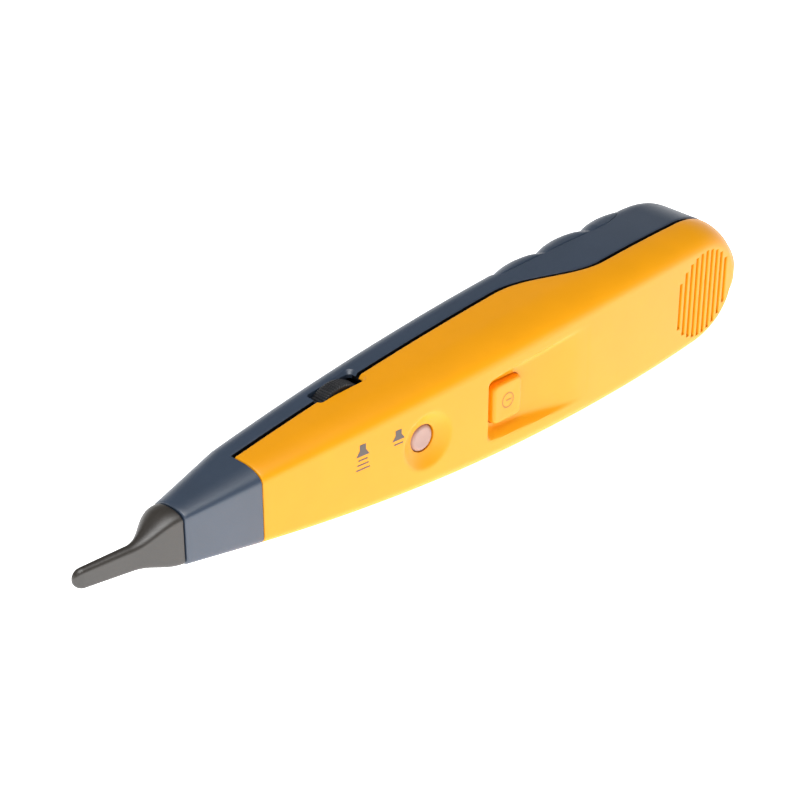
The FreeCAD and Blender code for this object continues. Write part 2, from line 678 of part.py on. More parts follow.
speaker_cone = turned(SPEAKER_AT, [
    (opening, basket_y), (opening, basket_y + CONE_SHEET), (surround, basket_y + CONE_SHEET),
    (COIL_RADIUS, cone_end), (0.0, cone_end), (0.0, cone_end - CONE_SHEET),
    (COIL_RADIUS, cone_end - CONE_SHEET), (surround, basket_y)])
speaker_magnet = rod(SPEAKER_AT, 0, MAGNET_RADIUS, basket_end, basket_end + MAGNET_HEIGHT, ROUND_SIDES)

# Battery with its snap connector in the well
battery_top = WELL_FLOOR_Y + BATTERY_THICKNESS
battery_mid = 0.5 * (WELL_FLOOR_Y + battery_top)
half_battery = 0.5 * BATTERY_WIDTH
battery = box(CASE_X, CASE_X + BATTERY_LENGTH, WELL_FLOOR_Y, battery_top, -half_battery, half_battery)
long_edges = [e for e in battery.Edges if e.BoundBox.XLength > 0.5 * BATTERY_LENGTH]
battery = battery.makeChamfer(BATTERY_EDGE, long_edges)
for z, radius in ((-0.5 * STUD_SPACING, SMALL_STUD_RADIUS), (0.5 * STUD_SPACING, LARGE_STUD_RADIUS)):
    battery = battery.fuse(Part.makeCylinder(radius, STUD_HEIGHT, V(STUD_X, battery_mid, z), V(1, 0, 0)))
half_snap = half_battery - SNAP_MARGIN
battery_snap = box(SNAP_X, STUD_X, battery_mid - SNAP_HALF_HEIGHT, battery_mid + SNAP_HALF_HEIGHT,
                   -half_snap, half_snap)
short_edges = [e for e in battery_snap.Edges if e.BoundBox.XLength > 0.5 * SNAP_THICKNESS]
battery_snap = battery_snap.makeFillet(SNAP_CORNER, short_edges)
well_half = half_battery + WELL_ROOM
well = box(WELL_FRONT - WELL_WALL, WELL_REAR + WELL_WALL, WELL_FLOOR_Y - WELL_WALL, DOOR_Y - 0.5 * LEDGE,
           -well_half - WELL_WALL, well_half + WELL_WALL)
well_hollow = box(WELL_FRONT, WELL_REAR, WELL_FLOOR_Y, FAR, -well_half, well_half)
lead_y = battery_mid - SNAP_HALF_HEIGHT + LEAD_RADIUS
lead_notch = box(WELL_FRONT - 2.0 * WELL_WALL, WELL_FRONT + WELL_WALL, lead_y - NOTCH_HALF_HEIGHT,
                 lead_y + NOTCH_HALF_HEIGHT, -NOTCH_HALF_WIDTH, NOTCH_HALF_WIDTH)

# Finger-lobed door with its tabs, its screw in a pillar, and the foam that holds the battery down
sections = []
for i in range(DOOR_LOBES):
    for t in (0.0, 0.08, 0.22, 0.4, 0.6, 0.78, 0.92):
        swell = LOBE_HEIGHT * math.sin(math.pi * t) ** LOBE_FULLNESS - LOBE_DIP
        sections.append(section(DOOR_FRONT + (i + t) * LOBE_PITCH, 0.0, swell))
sections.append(section(DOOR_REAR, 0.0, -LOBE_DIP))
grip = Part.makeLoft(sections, True, True)
door_start = DOOR_FRONT + DOOR_GAP
door_stop = DOOR_REAR - DOOR_GAP
door_room = box(door_start, door_stop, DOOR_Y, FAR, -FAR, FAR)
door_hollow = box(door_start + WALL, door_stop - WALL, DOOR_Y - WALL, FAR, -FAR, FAR)
door_hollow = door_hollow.common(hollow(WALL + LOBE_DIP))
door_bore = HEAD_RADIUS + HEAD_GAP
pillar_radius = door_bore + PILLAR_WALL
door_screw_x = WELL_REAR + pillar_radius
door_head_y = back_y(door_screw_x) - LOBE_DIP - HEAD_HEIGHT - HEAD_SUNK
grip = grip.common(door_room)
pillar = rod(door_screw_x, 0, pillar_radius, DOOR_Y, FAR, SMALL_SIDES).common(grip)
battery_door = grip.cut(door_hollow).fuse(pillar)
for z in (-TAB_SPREAD, TAB_SPREAD):
    tab = box(DOOR_FRONT - TAB_LENGTH, door_start + WALL, DOOR_Y, DOOR_Y + TAB_THICKNESS,
              z - 0.5 * TAB_WIDTH, z + 0.5 * TAB_WIDTH)
    battery_door = battery_door.fuse(tab)
battery_door = battery_door.cut([
    rod(door_screw_x, 0, door_bore, door_head_y, FAR, SMALL_SIDES),
    rod(door_screw_x, 0, SCREW_RADIUS + FIT, DOOR_Y - 1.0, FAR, SMALL_SIDES)])
door_screw = screw(door_screw_x, 0, door_head_y, DOOR_Y - SCREW_BITE, SCREW_RADIUS, HEAD_RADIUS)
foam_front = CASE_X + 0.5 * (BATTERY_LENGTH - FOAM_LENGTH)
foam_top = back_y(foam_front) - WALL - LOBE_DIP - FIT
battery_foam = box(foam_front, foam_front + FOAM_LENGTH, battery_top, foam_top,
                   -0.5 * FOAM_WIDTH, 0.5 * FOAM_WIDTH)

# Front shell: face moulding with scoop, dish, grille, bosses and loudspeaker cup
behind_rim = box(RIM + RIM_GAP, END + FAR, -FAR, FAR, -FAR, FAR)
front_shell = walls.common(seam_region(True, -0.5 * SEAM_GAP)).common(behind_rim)
front_shell = front_shell.cut(groove.common(seam_region(False, -LIP_HEIGHT - FIT)))
cup_end = flare_y
pads = [scoop(WALL)]
pads.append(key_block(FLANGE_OVER + WALL, -FACE_DEPTH, power_seat))
pads.append(rod(FILTER_AT, 0, DISH_RADIUS, -FACE_DEPTH, filter_seat, ROUND_SIDES))
pads.append(rod(SPEAKER_AT, 0, SPEAKER_RADIUS + FIT + CUP_WALL, -FACE_DEPTH, cup_end, ROUND_SIDES))
for x, z in BOARD_SPOTS:
    pads.append(rod(x, z, BOSS_RADIUS, -FACE_DEPTH, BOARD_FACE_Y, SMALL_SIDES))
for x, z in CASE_SPOTS:
    pads.append(rod(x, z, BOSS_RADIUS, -FACE_DEPTH, seam_y(x), SMALL_SIDES))
front_shell = front_shell.fuse(pads[0].fuse(pads[1:]).common(tongue))
cup_bore = rod(SPEAKER_AT, 0, opening, -FACE_DEPTH, cup_end + FAR, ROUND_SIDES).common(inner)
cup_bore = cup_bore.fuse(rod(SPEAKER_AT, 0, SPEAKER_RADIUS + FIT, speaker_seat, cup_end + FAR, ROUND_SIDES))
cutters = [cup_bore, wheel_slot, scoop(0.0), Part.makeSphere(dish_sphere, dish_centre)]
cutters.append(rod(FILTER_AT, 0, FILTER_RADIUS + KEY_GAP, -FAR, filter_seat + FAR))
cutters.append(key_block(KEY_GAP, -FAR, power_seat + FAR))
for i in range(SLOTS):
    offset = (i - 0.5 * (SLOTS - 1)) * SLOT_PITCH
    reach = math.sqrt(GRILLE_RADIUS ** 2 - offset ** 2) - 0.5 * SLOT_WIDTH
    x = SPEAKER_AT + offset
    cutters.append(box(x - 0.5 * SLOT_WIDTH, x + 0.5 * SLOT_WIDTH, -FAR, speaker_seat, -reach, reach))
for x, z in BOARD_SPOTS:
    cutters.append(rod(x, z, BOARD_SCREW_RADIUS, BOARD_FACE_Y - BOARD_SCREW_BITE, BOARD_FACE_Y, SMALL_SIDES))
for x, z in CASE_SPOTS:
    cutters.append(rod(x, z, SCREW_RADIUS, seam_y(x) - SCREW_BITE, seam_y(x), SMALL_SIDES))
for cutter in cutters:
    front_shell = front_shell.cut(cutter)

# Back shell: grip moulding in one piece with the collar, the battery well, the lip and the door ledge
collar = Part.makeLoft([mouth(COLLAR_FRONT), section(RIM)], True, True)
collar_bore = [mouth(COLLAR_FRONT, WALL, INNER_CHORDS), section(RIM, WALL, 0.0, INNER_CHORDS)]
collar = collar.cut(Part.makeLoft(collar_bore, True, True))
lip = tongue.cut(inner).common(seam_region(False, -LIP_HEIGHT)).common(seam_region(True, 0.5 * SEAM_GAP))
lip = lip.common(box(RIM + LIP_BEHIND_RIM, END + FAR, -FAR, FAR, -FAR, FAR))
back_shell = walls.common(seam_region(False, 0.5 * SEAM_GAP))
back_shell = back_shell.cut(box(DOOR_FRONT, DOOR_REAR, DOOR_Y - DOOR_GAP, FAR, -FAR, FAR))
ledge = box(DOOR_FRONT - TAB_LENGTH - LEDGE_REACH, DOOR_REAR + LEDGE_REACH, DOOR_Y - LEDGE, DOOR_Y - DOOR_GAP,
            -FAR, FAR).common(tongue)
door_boss = rod(door_screw_x, 0, BOSS_RADIUS, DOOR_Y - SCREW_BITE - LEDGE, DOOR_Y - DOOR_GAP, SMALL_SIDES)
ledge = ledge.fuse(door_boss)
posts = []
for x, z in CASE_SPOTS:
    post_top = DOOR_Y - LEDGE if x > DOOR_FRONT else FAR
    posts.append(rod(x, z, HEAD_RADIUS + HEAD_GAP + POST_WALL, seam_y(x), post_top, SMALL_SIDES))
posts = posts[0].fuse(posts[1:]).common(tongue)
back_shell = back_shell.fuse([collar, lip, ledge, well, posts])
cutters = [well_hollow, lead_notch, wheel_slot]
cutters.append(rod(door_screw_x, 0, SCREW_RADIUS, DOOR_Y - SCREW_BITE, DOOR_Y, SMALL_SIDES))
for x, z in CASE_SPOTS:
    cutters.append(rod(x, z, HEAD_RADIUS + HEAD_GAP, seam_y(x) + HEAD_SEAT, FAR, SMALL_SIDES))
    cutters.append(rod(x, z, SCREW_RADIUS + FIT, seam_y(x) - 1.0, seam_y(x) + HEAD_SEAT, SMALL_SIDES))
for cutter in cutters:
    back_shell = back_shell.cut(cutter)

# Probe tip with its plug, contact pin and lead
tip_base = COLLAR_FRONT - RIM_GAP
nose_slope = (face_y(RIM) - MOUTH_Y + MOUTH_FLAT) / COLLAR_LENGTH


def tip_section(x):
    """Section of the tip: D-shaped at the collar, flaring down to a flat blade with a round end."""
    ease = 0.5 - 0.5 * math.cos(math.pi * min((tip_base - x) / BLADE_ROOT, 1.0))
    along = max((tip_base - BLADE_ROOT - x) / (tip_base - BLADE_ROOT), 0.0)
    blade = BLADE_HALF_WIDTH * (1.0 + BLADE_SWELL * (1.0 - along))
    thick = BLADE_THICKNESS * (1.0 + BLADE_SWELL * (1.0 - along))
    base = MOUTH_RADIUS - TIP_STEP
    side = base + (blade - base) * ease
    flat_base = math.sqrt(MOUTH_RADIUS ** 2 - MOUTH_FLAT ** 2) - TIP_STEP
    flat = flat_base + (0.62 * blade - flat_base) * ease
    front = MOUTH_Y - MOUTH_FLAT + TIP_STEP + nose_slope * (x - tip_base)
    depth = MOUTH_FLAT + base - TIP_STEP
    depth = depth + (thick - depth) * ease
    shrink = 1.0
    if x < BLADE_HALF_WIDTH:
        shrink = math.sqrt(1.0 - ((BLADE_HALF_WIDTH - x) / BLADE_HALF_WIDTH) ** 2)
    low = front + 0.5 * depth * (1.0 - shrink)
    high = front + 0.5 * depth * (1.0 + shrink)
    waist = low + (0.37 + 0.13 * ease) * (high - low)
    step = 0.04 * (high - low)
    return ring(x, low, flat * shrink, side * shrink, waist - step, waist + step, high, 0.3 * side * shrink,
                TIP_CHORDS)


stations = [tip_base - BLADE_ROOT * t for t in (0.0, 0.12, 0.25, 0.38, 0.5, 0.62, 0.75, 0.88, 1.0)]
stations += [BLADE_HALF_WIDTH * t for t in (1.0, 0.62, 0.33, 0.13, 0.02)]
probe_tip = Part.makeLoft([tip_section(x) for x in stations], True, True)
plug = Part.Face(mouth(tip_base - RIM_GAP, WALL + FIT, INNER_CHORDS))
plug = plug.extrude(V(PLUG_LENGTH + 2.0 * RIM_GAP, 0, 0))
pin_x = COLLAR_FRONT + PLUG_LENGTH - PIN_IN_TIP
tip_pin = Part.makeCylinder(PIN_RADIUS, PIN_LENGTH, V(pin_x, MOUTH_Y, 0), V(1, 0, 0))
probe_tip = probe_tip.fuse(plug).cut(tip_pin)

# Leads: tip to board, battery snap to board, board to loudspeaker, routes chosen by hand round the bosses
pin_end = pin_x + PIN_LENGTH
board_lead_y = BOARD_BACK_Y + LEAD_RADIUS
face_lead_y = BOARD_FACE_Y - LEAD_RADIUS
tag_lead_y = tag_y + 0.5 * TAG_THICKNESS
tip_lead = lead([(pin_end, MOUTH_Y, 0), (pin_end + 3.5, MOUTH_Y, 0), (pin_end + 8.0, board_lead_y, 5.4),
                 (BOARD_FRONT + 4.0, board_lead_y, 5.4)])
battery_leads = []
speaker_leads = []
for side in (-1.0, 1.0):
    battery_leads.append(lead([
        (SNAP_X, lead_y, 3.0 * side), (SNAP_X - 6.0, lead_y, 3.0 * side),
        (BOARD_REAR + 4.0, board_lead_y, 5.0 * side), (BOARD_REAR - 3.0, board_lead_y, 5.0 * side)]))
    speaker_leads.append(lead([
        (tag_front, tag_lead_y, 2.5 * side), (tag_front - 14.0, tag_lead_y, 2.5 * side),
        (tag_front - 30.0, tag_lead_y, 5.2 * side), (BOARD_REAR + 14.0, tag_lead_y, 5.2 * side),
        (BOARD_REAR + 5.0, face_lead_y, 5.2 * side), (BOARD_REAR - 3.0, face_lead_y, 5.2 * side)]))

pieces = {
    "front_shell": [front_shell],
    "back_shell": [back_shell],
    "battery_door": [battery_door],
    "probe_tip": [probe_tip],
    "tip_pin": [tip_pin],
    "tip_lead": [tip_lead],
    "case_screws": case_screws,
    "door_screw": [door_screw],
    "main_board": [main_board],
    "board_screws": board_screws,
    "amplifier_chip": [amplifier_chip],
    "capacitors": capacitors,
    "filter_switch": [switch_body(FILTER_AT)],
    "filter_plunger": [plunger(FILTER_AT)],
    "filter_button": [filter_button.removeSplitter()],
    "power_switch": [switch_body(POWER_AT)],
    "power_plunger": [plunger(POWER_AT)],
    "power_button": [power_button.removeSplitter()],
    "volume_pot": [volume_pot],
    "pot_shaft": [pot_shaft],
    "volume_wheel": [volume_wheel],
    "wheel_screw": [wheel_screw],
    "speaker_gasket": [speaker_gasket],
    "speaker_basket": [speaker_basket],
    "speaker_cone": [speaker_cone],
    "speaker_magnet": [speaker_magnet],
    "speaker_leads": speaker_leads,
    "battery": [battery],
    "battery_snap": [battery_snap],
    "battery_leads": battery_leads,
    "battery_foam": [battery_foam],
}

whole = Part.makeCompound([front_shell, back_shell, battery_door, probe_tip]).optimalBoundingBox(False, False)
home = V(-whole.Center.x, -whole.Center.y, -whole.ZMin)
os.makedirs("parts", exist_ok=True)
for name, solids in pieces.items():
    shape = solids[0] if len(solids) == 1 else Part.makeCompound(solids)
    shape.translated(home).exportStep("parts/" + name + ".step")
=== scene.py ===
import json
import math

import bmesh
import bpy
import numpy as np
from bpy.props import FloatProperty, FloatVectorProperty, IntProperty, PointerProperty
from mathutils import Matrix, Vector


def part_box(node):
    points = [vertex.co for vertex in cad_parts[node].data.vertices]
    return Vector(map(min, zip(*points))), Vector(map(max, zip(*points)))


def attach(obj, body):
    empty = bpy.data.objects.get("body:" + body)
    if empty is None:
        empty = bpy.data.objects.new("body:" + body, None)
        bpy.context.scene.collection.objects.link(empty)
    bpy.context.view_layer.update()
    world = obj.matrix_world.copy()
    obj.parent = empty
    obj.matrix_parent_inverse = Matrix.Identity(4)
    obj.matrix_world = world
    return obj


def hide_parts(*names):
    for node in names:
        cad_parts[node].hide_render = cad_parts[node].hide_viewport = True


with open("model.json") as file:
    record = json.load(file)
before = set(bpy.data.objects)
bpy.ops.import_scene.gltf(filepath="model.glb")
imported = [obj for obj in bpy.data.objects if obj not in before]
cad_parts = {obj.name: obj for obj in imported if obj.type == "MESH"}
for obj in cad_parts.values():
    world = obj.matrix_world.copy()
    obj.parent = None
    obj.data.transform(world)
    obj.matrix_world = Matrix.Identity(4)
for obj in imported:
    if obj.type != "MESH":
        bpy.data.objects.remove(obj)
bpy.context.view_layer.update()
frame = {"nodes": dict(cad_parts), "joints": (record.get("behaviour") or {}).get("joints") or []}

bl_info = {
    "name": "Tone Tracer Probe",
    "version": (1, 0, 0),
    "blender": (4, 5, 0),
    "location": "View3D > Sidebar > Tracer",
    "description": "Dresses the packed solids of a tone tracer probe and sets a studio round it",
    "category": "Object",
}

MM = 0.001


def length(name, millimetres, description):
    """A size kept in metres and given here in millimetres."""
    return FloatProperty(name=name, description=description, default=millimetres * MM,
                         unit="LENGTH", precision=5)


def share(name, value, description):
    """A plain ratio."""
    return FloatProperty(name=name, description=description, default=value, subtype="FACTOR", precision=3)


def tint(name, value, description):
    """A colour in linear light."""
    return FloatVectorProperty(name=name, description=description, default=value, subtype="COLOR",
                               size=3, min=0.0, max=1.0)


def number(name, value, description, least=1):
    """A whole number of like things."""
    return IntProperty(name=name, description=description, default=value, min=least)


def angle(name, degrees, description):
    """An angle given here in degrees."""
    return FloatProperty(name=name, description=description, default=math.radians(degrees), subtype="ANGLE")


def power(name, watts, description):
    """Power of a light."""
    return FloatProperty(name=name, description=description, default=watts, subtype="POWER")


class HousingSizes(bpy.types.PropertyGroup):
    """Outline of the two shells, measured from the end of the tip and from the middle plane."""

    collar_front: length("Collar front", 30.6, "Front edge of the collar")
    rim: length("Rim", 52.9, "Where the collar ends and the face moulding starts")
    end: length("End", 247.95, "Rear end of the housing")
    half_width: length("Half width", 20.29, "Half of the greatest width")
    widest: length("Widest place", 194.9, "Where the housing is widest")
    plan_front: length("Plan radius in front", 1130.0, "Bow of the sides ahead of the widest place")
    plan_rear: length("Plan radius behind", 700.0, "Bow of the sides behind the widest place")
    end_round: length("End round", 25.2, "Length of the rounded rear end")
    end_power: share("End fullness", 2.15, "Power of the rounded end's outline")
    face_depth: length("Face depth", 21.98, "Height of the face above the axis at its apex")
    face_apex: length("Face apex", 146.9, "Where the face stands highest")
    face_front: length("Face radius in front", 670.0, "Bow of the face ahead of its apex")
    face_rear: length("Face radius behind", 970.0, "Bow of the face behind its apex")
    shoulder_width: share("Shoulder width", 0.30, "Share of the half width taken by a shoulder")
    shoulder_depth: share("Shoulder depth", 0.62, "Depth of a shoulder for each unit of half width")
    face_nose: share("Face nose", 0.8, "How far the face turns down at the rear end")
    back_at_rim: length("Back at the rim", 6.0, "Height of the back at the rim")
    back_at_rear: length("Back at the rear", 14.5, "Height of the back near the rear end")
    back_rear: length("Back straight until", 221.9, "Where the back stops rising")
    back_bow: length("Back bow", 0.9, "Crown of the back along its length")
    back_corner: length("Back corner", 7.0, "Rounding of the back's long corners")
    heel: length("Heel", 14.5, "Rounding of the back's rear end")
    least_face: share("Least face", 0.12, "Flat share kept on the face at the very end")
    least_back: share("Least back", 0.25, "Flat share kept on the back at the very end")
    wall: length("Wall", 2.0, "Wall thickness")
    edge: length("Edge", 0.4, "Rounding of the mouldings' edges")
    rim_gap: length("Rim gap", 0.35, "Joint between collar and face moulding")
    seam_gap: length("Seam gap", 1.2, "Joint line between the shells")
    seam_at_rim: length("Seam at the rim", -4.2, "Height of the parting line at the rim")
    seam_crest: length("Seam crest", 0.3, "Height of the parting line before its bend")
    seam_dip: length("Seam dip", -9.1, "Height of the parting line after its bend")
    seam_at_end: length("Seam at the end", -5.6, "Height of the parting line at the rear end")
    seam_bend: length("Seam bend", 153.9, "Where the bend of the parting line starts")
    seam_bend_length: length("Seam bend length", 36.0, "Length of that bend")
    seam_pull: share("Seam pull", 0.38, "How long the bend keeps the direction of the runs beside it")
    lip_height: length("Lip height", 1.6, "How far the inner lip crosses the parting line")
    lip_wall: length("Lip wall", 0.6, "Thickness of the inner lip")
    mouth_radius: length("Mouth radius", 8.1, "Radius of the collar mouth")
    mouth_flat: length("Mouth flat", 5.3, "Distance of the mouth's flat from its centre")
    mouth_y: length("Mouth height", -6.8, "Height of the mouth's centre")
    mouth_waist: length("Mouth waist", 0.3, "Half of the straight stretch at the mouth's sides")
    mouth_back: share("Mouth back", 0.25, "Flat share at the back of the mouth")


class KeySizes(bpy.types.PropertyGroup):
    """Round filter button in its dish and square power key in its thumb scoop."""

    gap: length("Key gap", 0.25, "Room round each key")
    edge: length("Key edge", 1.1, "Rounding of the keys' upper edges")
    flange: length("Flange", 1.2, "Thickness of the flange behind the face")
    flange_over: length("Flange overlap", 1.2, "How far the flange reaches past the key")
    stem_radius: length("Stem radius", 2.25, "Radius of the stem that meets the switch")
    filter_at: length("Filter button", 106.8, "Place of the filter button")
    filter_radius: length("Filter radius", 3.9, "Radius of the filter button")
    filter_drop: length("Filter drop", 2.0, "How deep the button's top lies below the face")
    dish_radius: length("Dish radius", 8.4, "Radius of the dish round the filter button")
    dish_depth: length("Dish depth", 3.0, "Depth of that dish")
    power_at: length("Power key", 137.9, "Place of the power key")
    power_length: length("Power length", 11.6, "Length of the power key")
    power_half: length("Power half width", 6.2, "Half width of the power key")
    power_drop: length("Power drop", 1.0, "How deep the key's top lies below the face")
    power_corner: length("Power corner", 2.2, "Corner radius of the power key")
    scoop_ahead: length("Scoop ahead", 8.9, "Front edge of the scoop ahead of the key's middle")
    scoop_length: length("Scoop length", 41.0, "Length of the thumb scoop")
    scoop_depth: length("Scoop depth", 3.2, "Depth of the scoop in front")
    scoop_half_front: length("Scoop half width in front", 7.2, "Half width of the scoop's floor in front")
    scoop_half_rear: length("Scoop half width behind", 9.6, "Half width of the scoop's floor behind")
    scoop_flare: share("Scoop flare", 0.75, "Lean of the scoop's side walls")
    scoop_front_flare: share("Scoop front flare", 0.3, "Lean of the scoop's front wall")
    hollow_blend: length("Hollow blend", 0.9, "Softness of the corners inside dish and scoop")
    rim_blend: length("Hollow rim", 0.35, "Softness of the rims of dish and scoop")


class TrimSizes(bpy.types.PropertyGroup):
    """Tip, grille, volume wheel, battery door and screws."""

    tip_step: length("Tip step", 0.3, "Step from the collar mouth down to the tip")
    blade_half: length("Blade half width", 2.7, "Half width of the blade")
    blade_thickness: length("Blade thickness", 2.8, "Thickness of the blade")
    blade_root: length("Blade root", 15.0, "Length over which the blade flares to the collar")
    blade_swell: share("Blade swell", 0.3, "How much the blade grows towards its root")
    plug_length: length("Plug length", 9.0, "Length of the tip's plug in the collar")
    plug_fit: length("Plug fit", 0.15, "Room round the plug")
    bore_radius: length("Plug bore", 1.0, "Radius of the bore for the contact pin")
    bore_depth: length("Bore depth", 7.0, "Depth of that bore")
    slots: number("Slots", 10, "Slots of the loudspeaker grille")
    slot_pitch: length("Slot pitch", 2.62, "Distance between slots")
    slot_width: length("Slot width", 0.85, "Width of a slot")
    slot_lead: length("Slot lead", 0.5, "Bevel at the mouth of a slot")
    grille_radius: length("Grille radius", 14.5, "Radius of the round field of slots")
    grille_at: length("Grille", 226.0, "Middle of the grille")
    wheel_at: length("Wheel", 90.9, "Place of the volume wheel")
    wheel_radius: length("Wheel radius", 10.0, "Radius over the ribs")
    wheel_proud: length("Wheel proud", 0.9, "How far the wheel stands out of the side")
    wheel_middle: length("Wheel middle", -2.0, "Height of the wheel's middle")
    wheel_thickness: length("Wheel thickness", 4.6, "Thickness of the wheel")
    wheel_ribs: number("Wheel ribs", 72, "Ribs round the wheel", 3)
    rib_depth: length("Rib depth", 0.3, "Depth of the grooves between ribs")
    hub_radius: length("Hub recess", 4.5, "Radius of the recess for the wheel's screw")
    shaft_radius: length("Shaft radius", 3.0, "Radius of the shaft in the wheel")
    hub_depth: length("Hub depth", 1.6, "Depth of the recess for the wheel's screw")
    wheel_gap: length("Wheel gap", 0.6, "Room beside the wheel")
    slot_length: length("Wheel slot", 15.8, "Length of the wheel's slot")
    slot_corner: length("Slot corner", 1.2, "Corner radius of that slot")
    slot_bevel: length("Slot bevel", 0.3, "Bevel round the mouth of that slot")
    door_front: length("Door front", 162.4, "Front end of the battery door")
    door_rear: length("Door rear", 223.0, "Rear end of the battery door")
    door_y: length("Door edge", 6.0, "Height of the door's long edges")
    door_gap: length("Door gap", 0.3, "Joint round the door")
    door_turn: length("Door turn", 18.0, "Length over which the door's lower edge turns up to the rear edge")
    door_rise: length("Door rise", 10.0, "Height of that turn")
    lobes: number("Lobes", 3, "Finger lobes along the door")
    lobe_height: length("Lobe height", 2.15, "Height of a finger lobe")
    lobe_dip: length("Lobe dip", 1.3, "How far the valleys lie below the back")
    lobe_fullness: share("Lobe fullness", 0.8, "Power of the lobes' outline")
    lobe_pinch: share("Lobe pinch", 0.35, "How much the sides draw in at the valleys")
    screw_radius: length("Screw radius", 1.2, "Radius of a screw's shank")
    screw_bite: length("Screw bite", 6.0, "How far a screw goes past the joint it closes")
    head_radius: length("Head radius", 2.1, "Radius of a screw head")
    head_height: length("Head height", 1.6, "Height of a screw head")
    head_seat: length("Head seat", 4.0, "Seat of the case screws above the parting line")
    head_gap: length("Head gap", 0.25, "Room round a screw head")
    recess_length: length("Recess length", 2.0, "Length of a screw's cross recess")
    recess_width: length("Recess width", 0.5, "Width of that recess")


class Finishes(bpy.types.PropertyGroup):
    """Colours of the visible mouldings."""

    face_yellow: tint("Face yellow", (0.93, 0.375, 0.003), "Face moulding")
    grip_navy: tint("Grip navy", (0.034, 0.055, 0.092), "Grip moulding and collar")
    tip_black: tint("Tip black", (0.026, 0.021, 0.016), "Probe tip")
    key_white: tint("Key white", (0.48, 0.32, 0.285), "Filter button")
    mark_grey: tint("Mark grey", (0.115, 0.095, 0.085), "Printed signs")
    wheel_black: tint("Wheel black", (0.020, 0.021, 0.024), "Volume wheel")


class StudioSettings(bpy.types.PropertyGroup):
    """Camera and light."""

    azimuth: angle("Azimuth", -45.0, "Camera's turn about the object")
    elevation: angle("Elevation", 30.0, "Camera's height above the horizon")
    distance: length("Distance", 604.2, "Camera's distance from what it looks at")
    aim: length("Aim", 117.0, "Place along the object that the camera looks at")
    lens: FloatProperty(name="Lens", description="Focal length on a 36 mm sensor", default=99.45,
                        subtype="DISTANCE_CAMERA")
    front_light: power("Front light", 0.5, "Power of the large light in front")
    top_light: power("Top light", 8.0, "Power of the light overhead")
    surroundings: share("Surroundings", 0.06, "Brightness of the ceiling above the white walls")


def sizes():
    """Sizes of housing, keys and trim."""
    scene = bpy.context.scene
    return scene.tracer_housing, scene.tracer_keys, scene.tracer_trim


# Outline of the housing

def face_y(h, x):
    """Height of the face along its middle."""
    radius = h.face_front if x < h.face_apex else h.face_rear
    return (x - h.face_apex) ** 2 / (2.0 * radius) - h.face_depth


def side_z(h, x):
    """Half width of the housing."""
    radius = h.plan_front if x < h.widest else h.plan_rear
    return h.half_width - (x - h.widest) ** 2 / (2.0 * radius)


def back_y(h, x):
    """Height of the back along its middle."""
    t = (x - h.rim) / (h.back_rear - h.rim)
    level = h.back_at_rim + (h.back_at_rear - h.back_at_rim) * min(t, 1.0)
    return level + 4.0 * h.back_bow * max(t * (1.0 - t), 0.0)


def rounded(h, x, start, reach):
    """Share of the full width left at x on the rounded rear end."""
    t = min(max((x - start) / reach, 0.0), 1.0)
    return max(1.0 - t ** h.end_power, 0.0) ** (1.0 / h.end_power)


def dome(x, start, radius):
    """Drop of a quarter round that begins at start, as a share of its radius."""
    t = min(max((x - start) / radius, 0.0), 1.0)
    return 1.0 - math.sqrt(1.0 - t * t)


# How much an inset narrows the face's flat, the mouth's flat and the back's corners, and the most that a
# corner takes of the side
FLAT_INSET = 0.4
MOUTH_INSET = 0.5
CORNER_INSET = 0.5
CORNER_LIMIT = 0.85


def section(h, x, inset=0.0, swell=0.0, pinch=0.0):
    """Measures of the housing's section: face, flat, waist, side, corner, back, flat of the back."""
    start = h.end - h.end_round
    wide = side_z(h, min(x, start))
    shoulder = h.shoulder_width * wide
    side = (wide - inset) * rounded(h, x, start, h.end_round - inset)
    flat = (wide - shoulder - FLAT_INSET * inset) * rounded(h, x, start, h.end_round - shoulder - inset)
    flat = max(flat, h.least_face * side)
    depth = h.shoulder_depth * wide
    waist = face_y(h, x) + depth
    fall = h.face_nose * (depth - inset)
    front = face_y(h, x) + inset + fall * dome(x, h.end - shoulder - inset, shoulder)
    heel = h.heel - inset
    back = back_y(h, x) - inset + swell - heel * dome(x, h.end - h.heel, heel)
    round_off = min(h.back_corner - CORNER_INSET * inset, CORNER_LIMIT * (back - waist))
    back_flat = max(side - round_off, h.least_back * side)
    side = side - pinch * max(-swell, 0.0)
    return np.array([front, flat, waist, side, back - round_off, back, back_flat])


def mouth(h, inset=0.0):
    """Measures of the collar's mouth."""
    radius = h.mouth_radius - inset
    flat = math.sqrt(h.mouth_radius ** 2 - h.mouth_flat ** 2) - MOUTH_INSET * inset
    front = h.mouth_y - h.mouth_flat + inset
    return np.array([front, flat, h.mouth_y - h.mouth_waist, radius, h.mouth_y + h.mouth_waist,
                     h.mouth_y + radius, h.mouth_back * radius])


def measures(h, x, inset=0.0):
    """Measures of collar or housing at x."""
    if x >= h.rim:
        return section(h, x, inset)
    t = (x - h.collar_front) / (h.rim - h.collar_front)
    return (1.0 - t) * mouth(h, inset) + t * section(h, h.rim, inset)


def seam_y(h, x):
    """Height of the parting line."""
    slope = (h.seam_crest - h.seam_at_rim) / (h.seam_bend - h.rim)
    dip = h.seam_bend + h.seam_bend_length
    rear_slope = (h.seam_at_end - h.seam_dip) / (h.end - dip)
    if x <= h.seam_bend:
        return h.seam_crest + slope * (x - h.seam_bend)
    if x >= dip:
        return h.seam_dip + rear_slope * (x - dip)
    t = np.linspace(0.0, 1.0, 200)
    pull = h.seam_pull * h.seam_bend_length
    along = bezier(t, h.seam_bend, h.seam_bend + pull, dip - pull, dip)
    rise = bezier(t, h.seam_crest, h.seam_crest + slope * pull, h.seam_dip - rear_slope * pull,
                  h.seam_dip)
    return float(np.interp(x, along, rise))


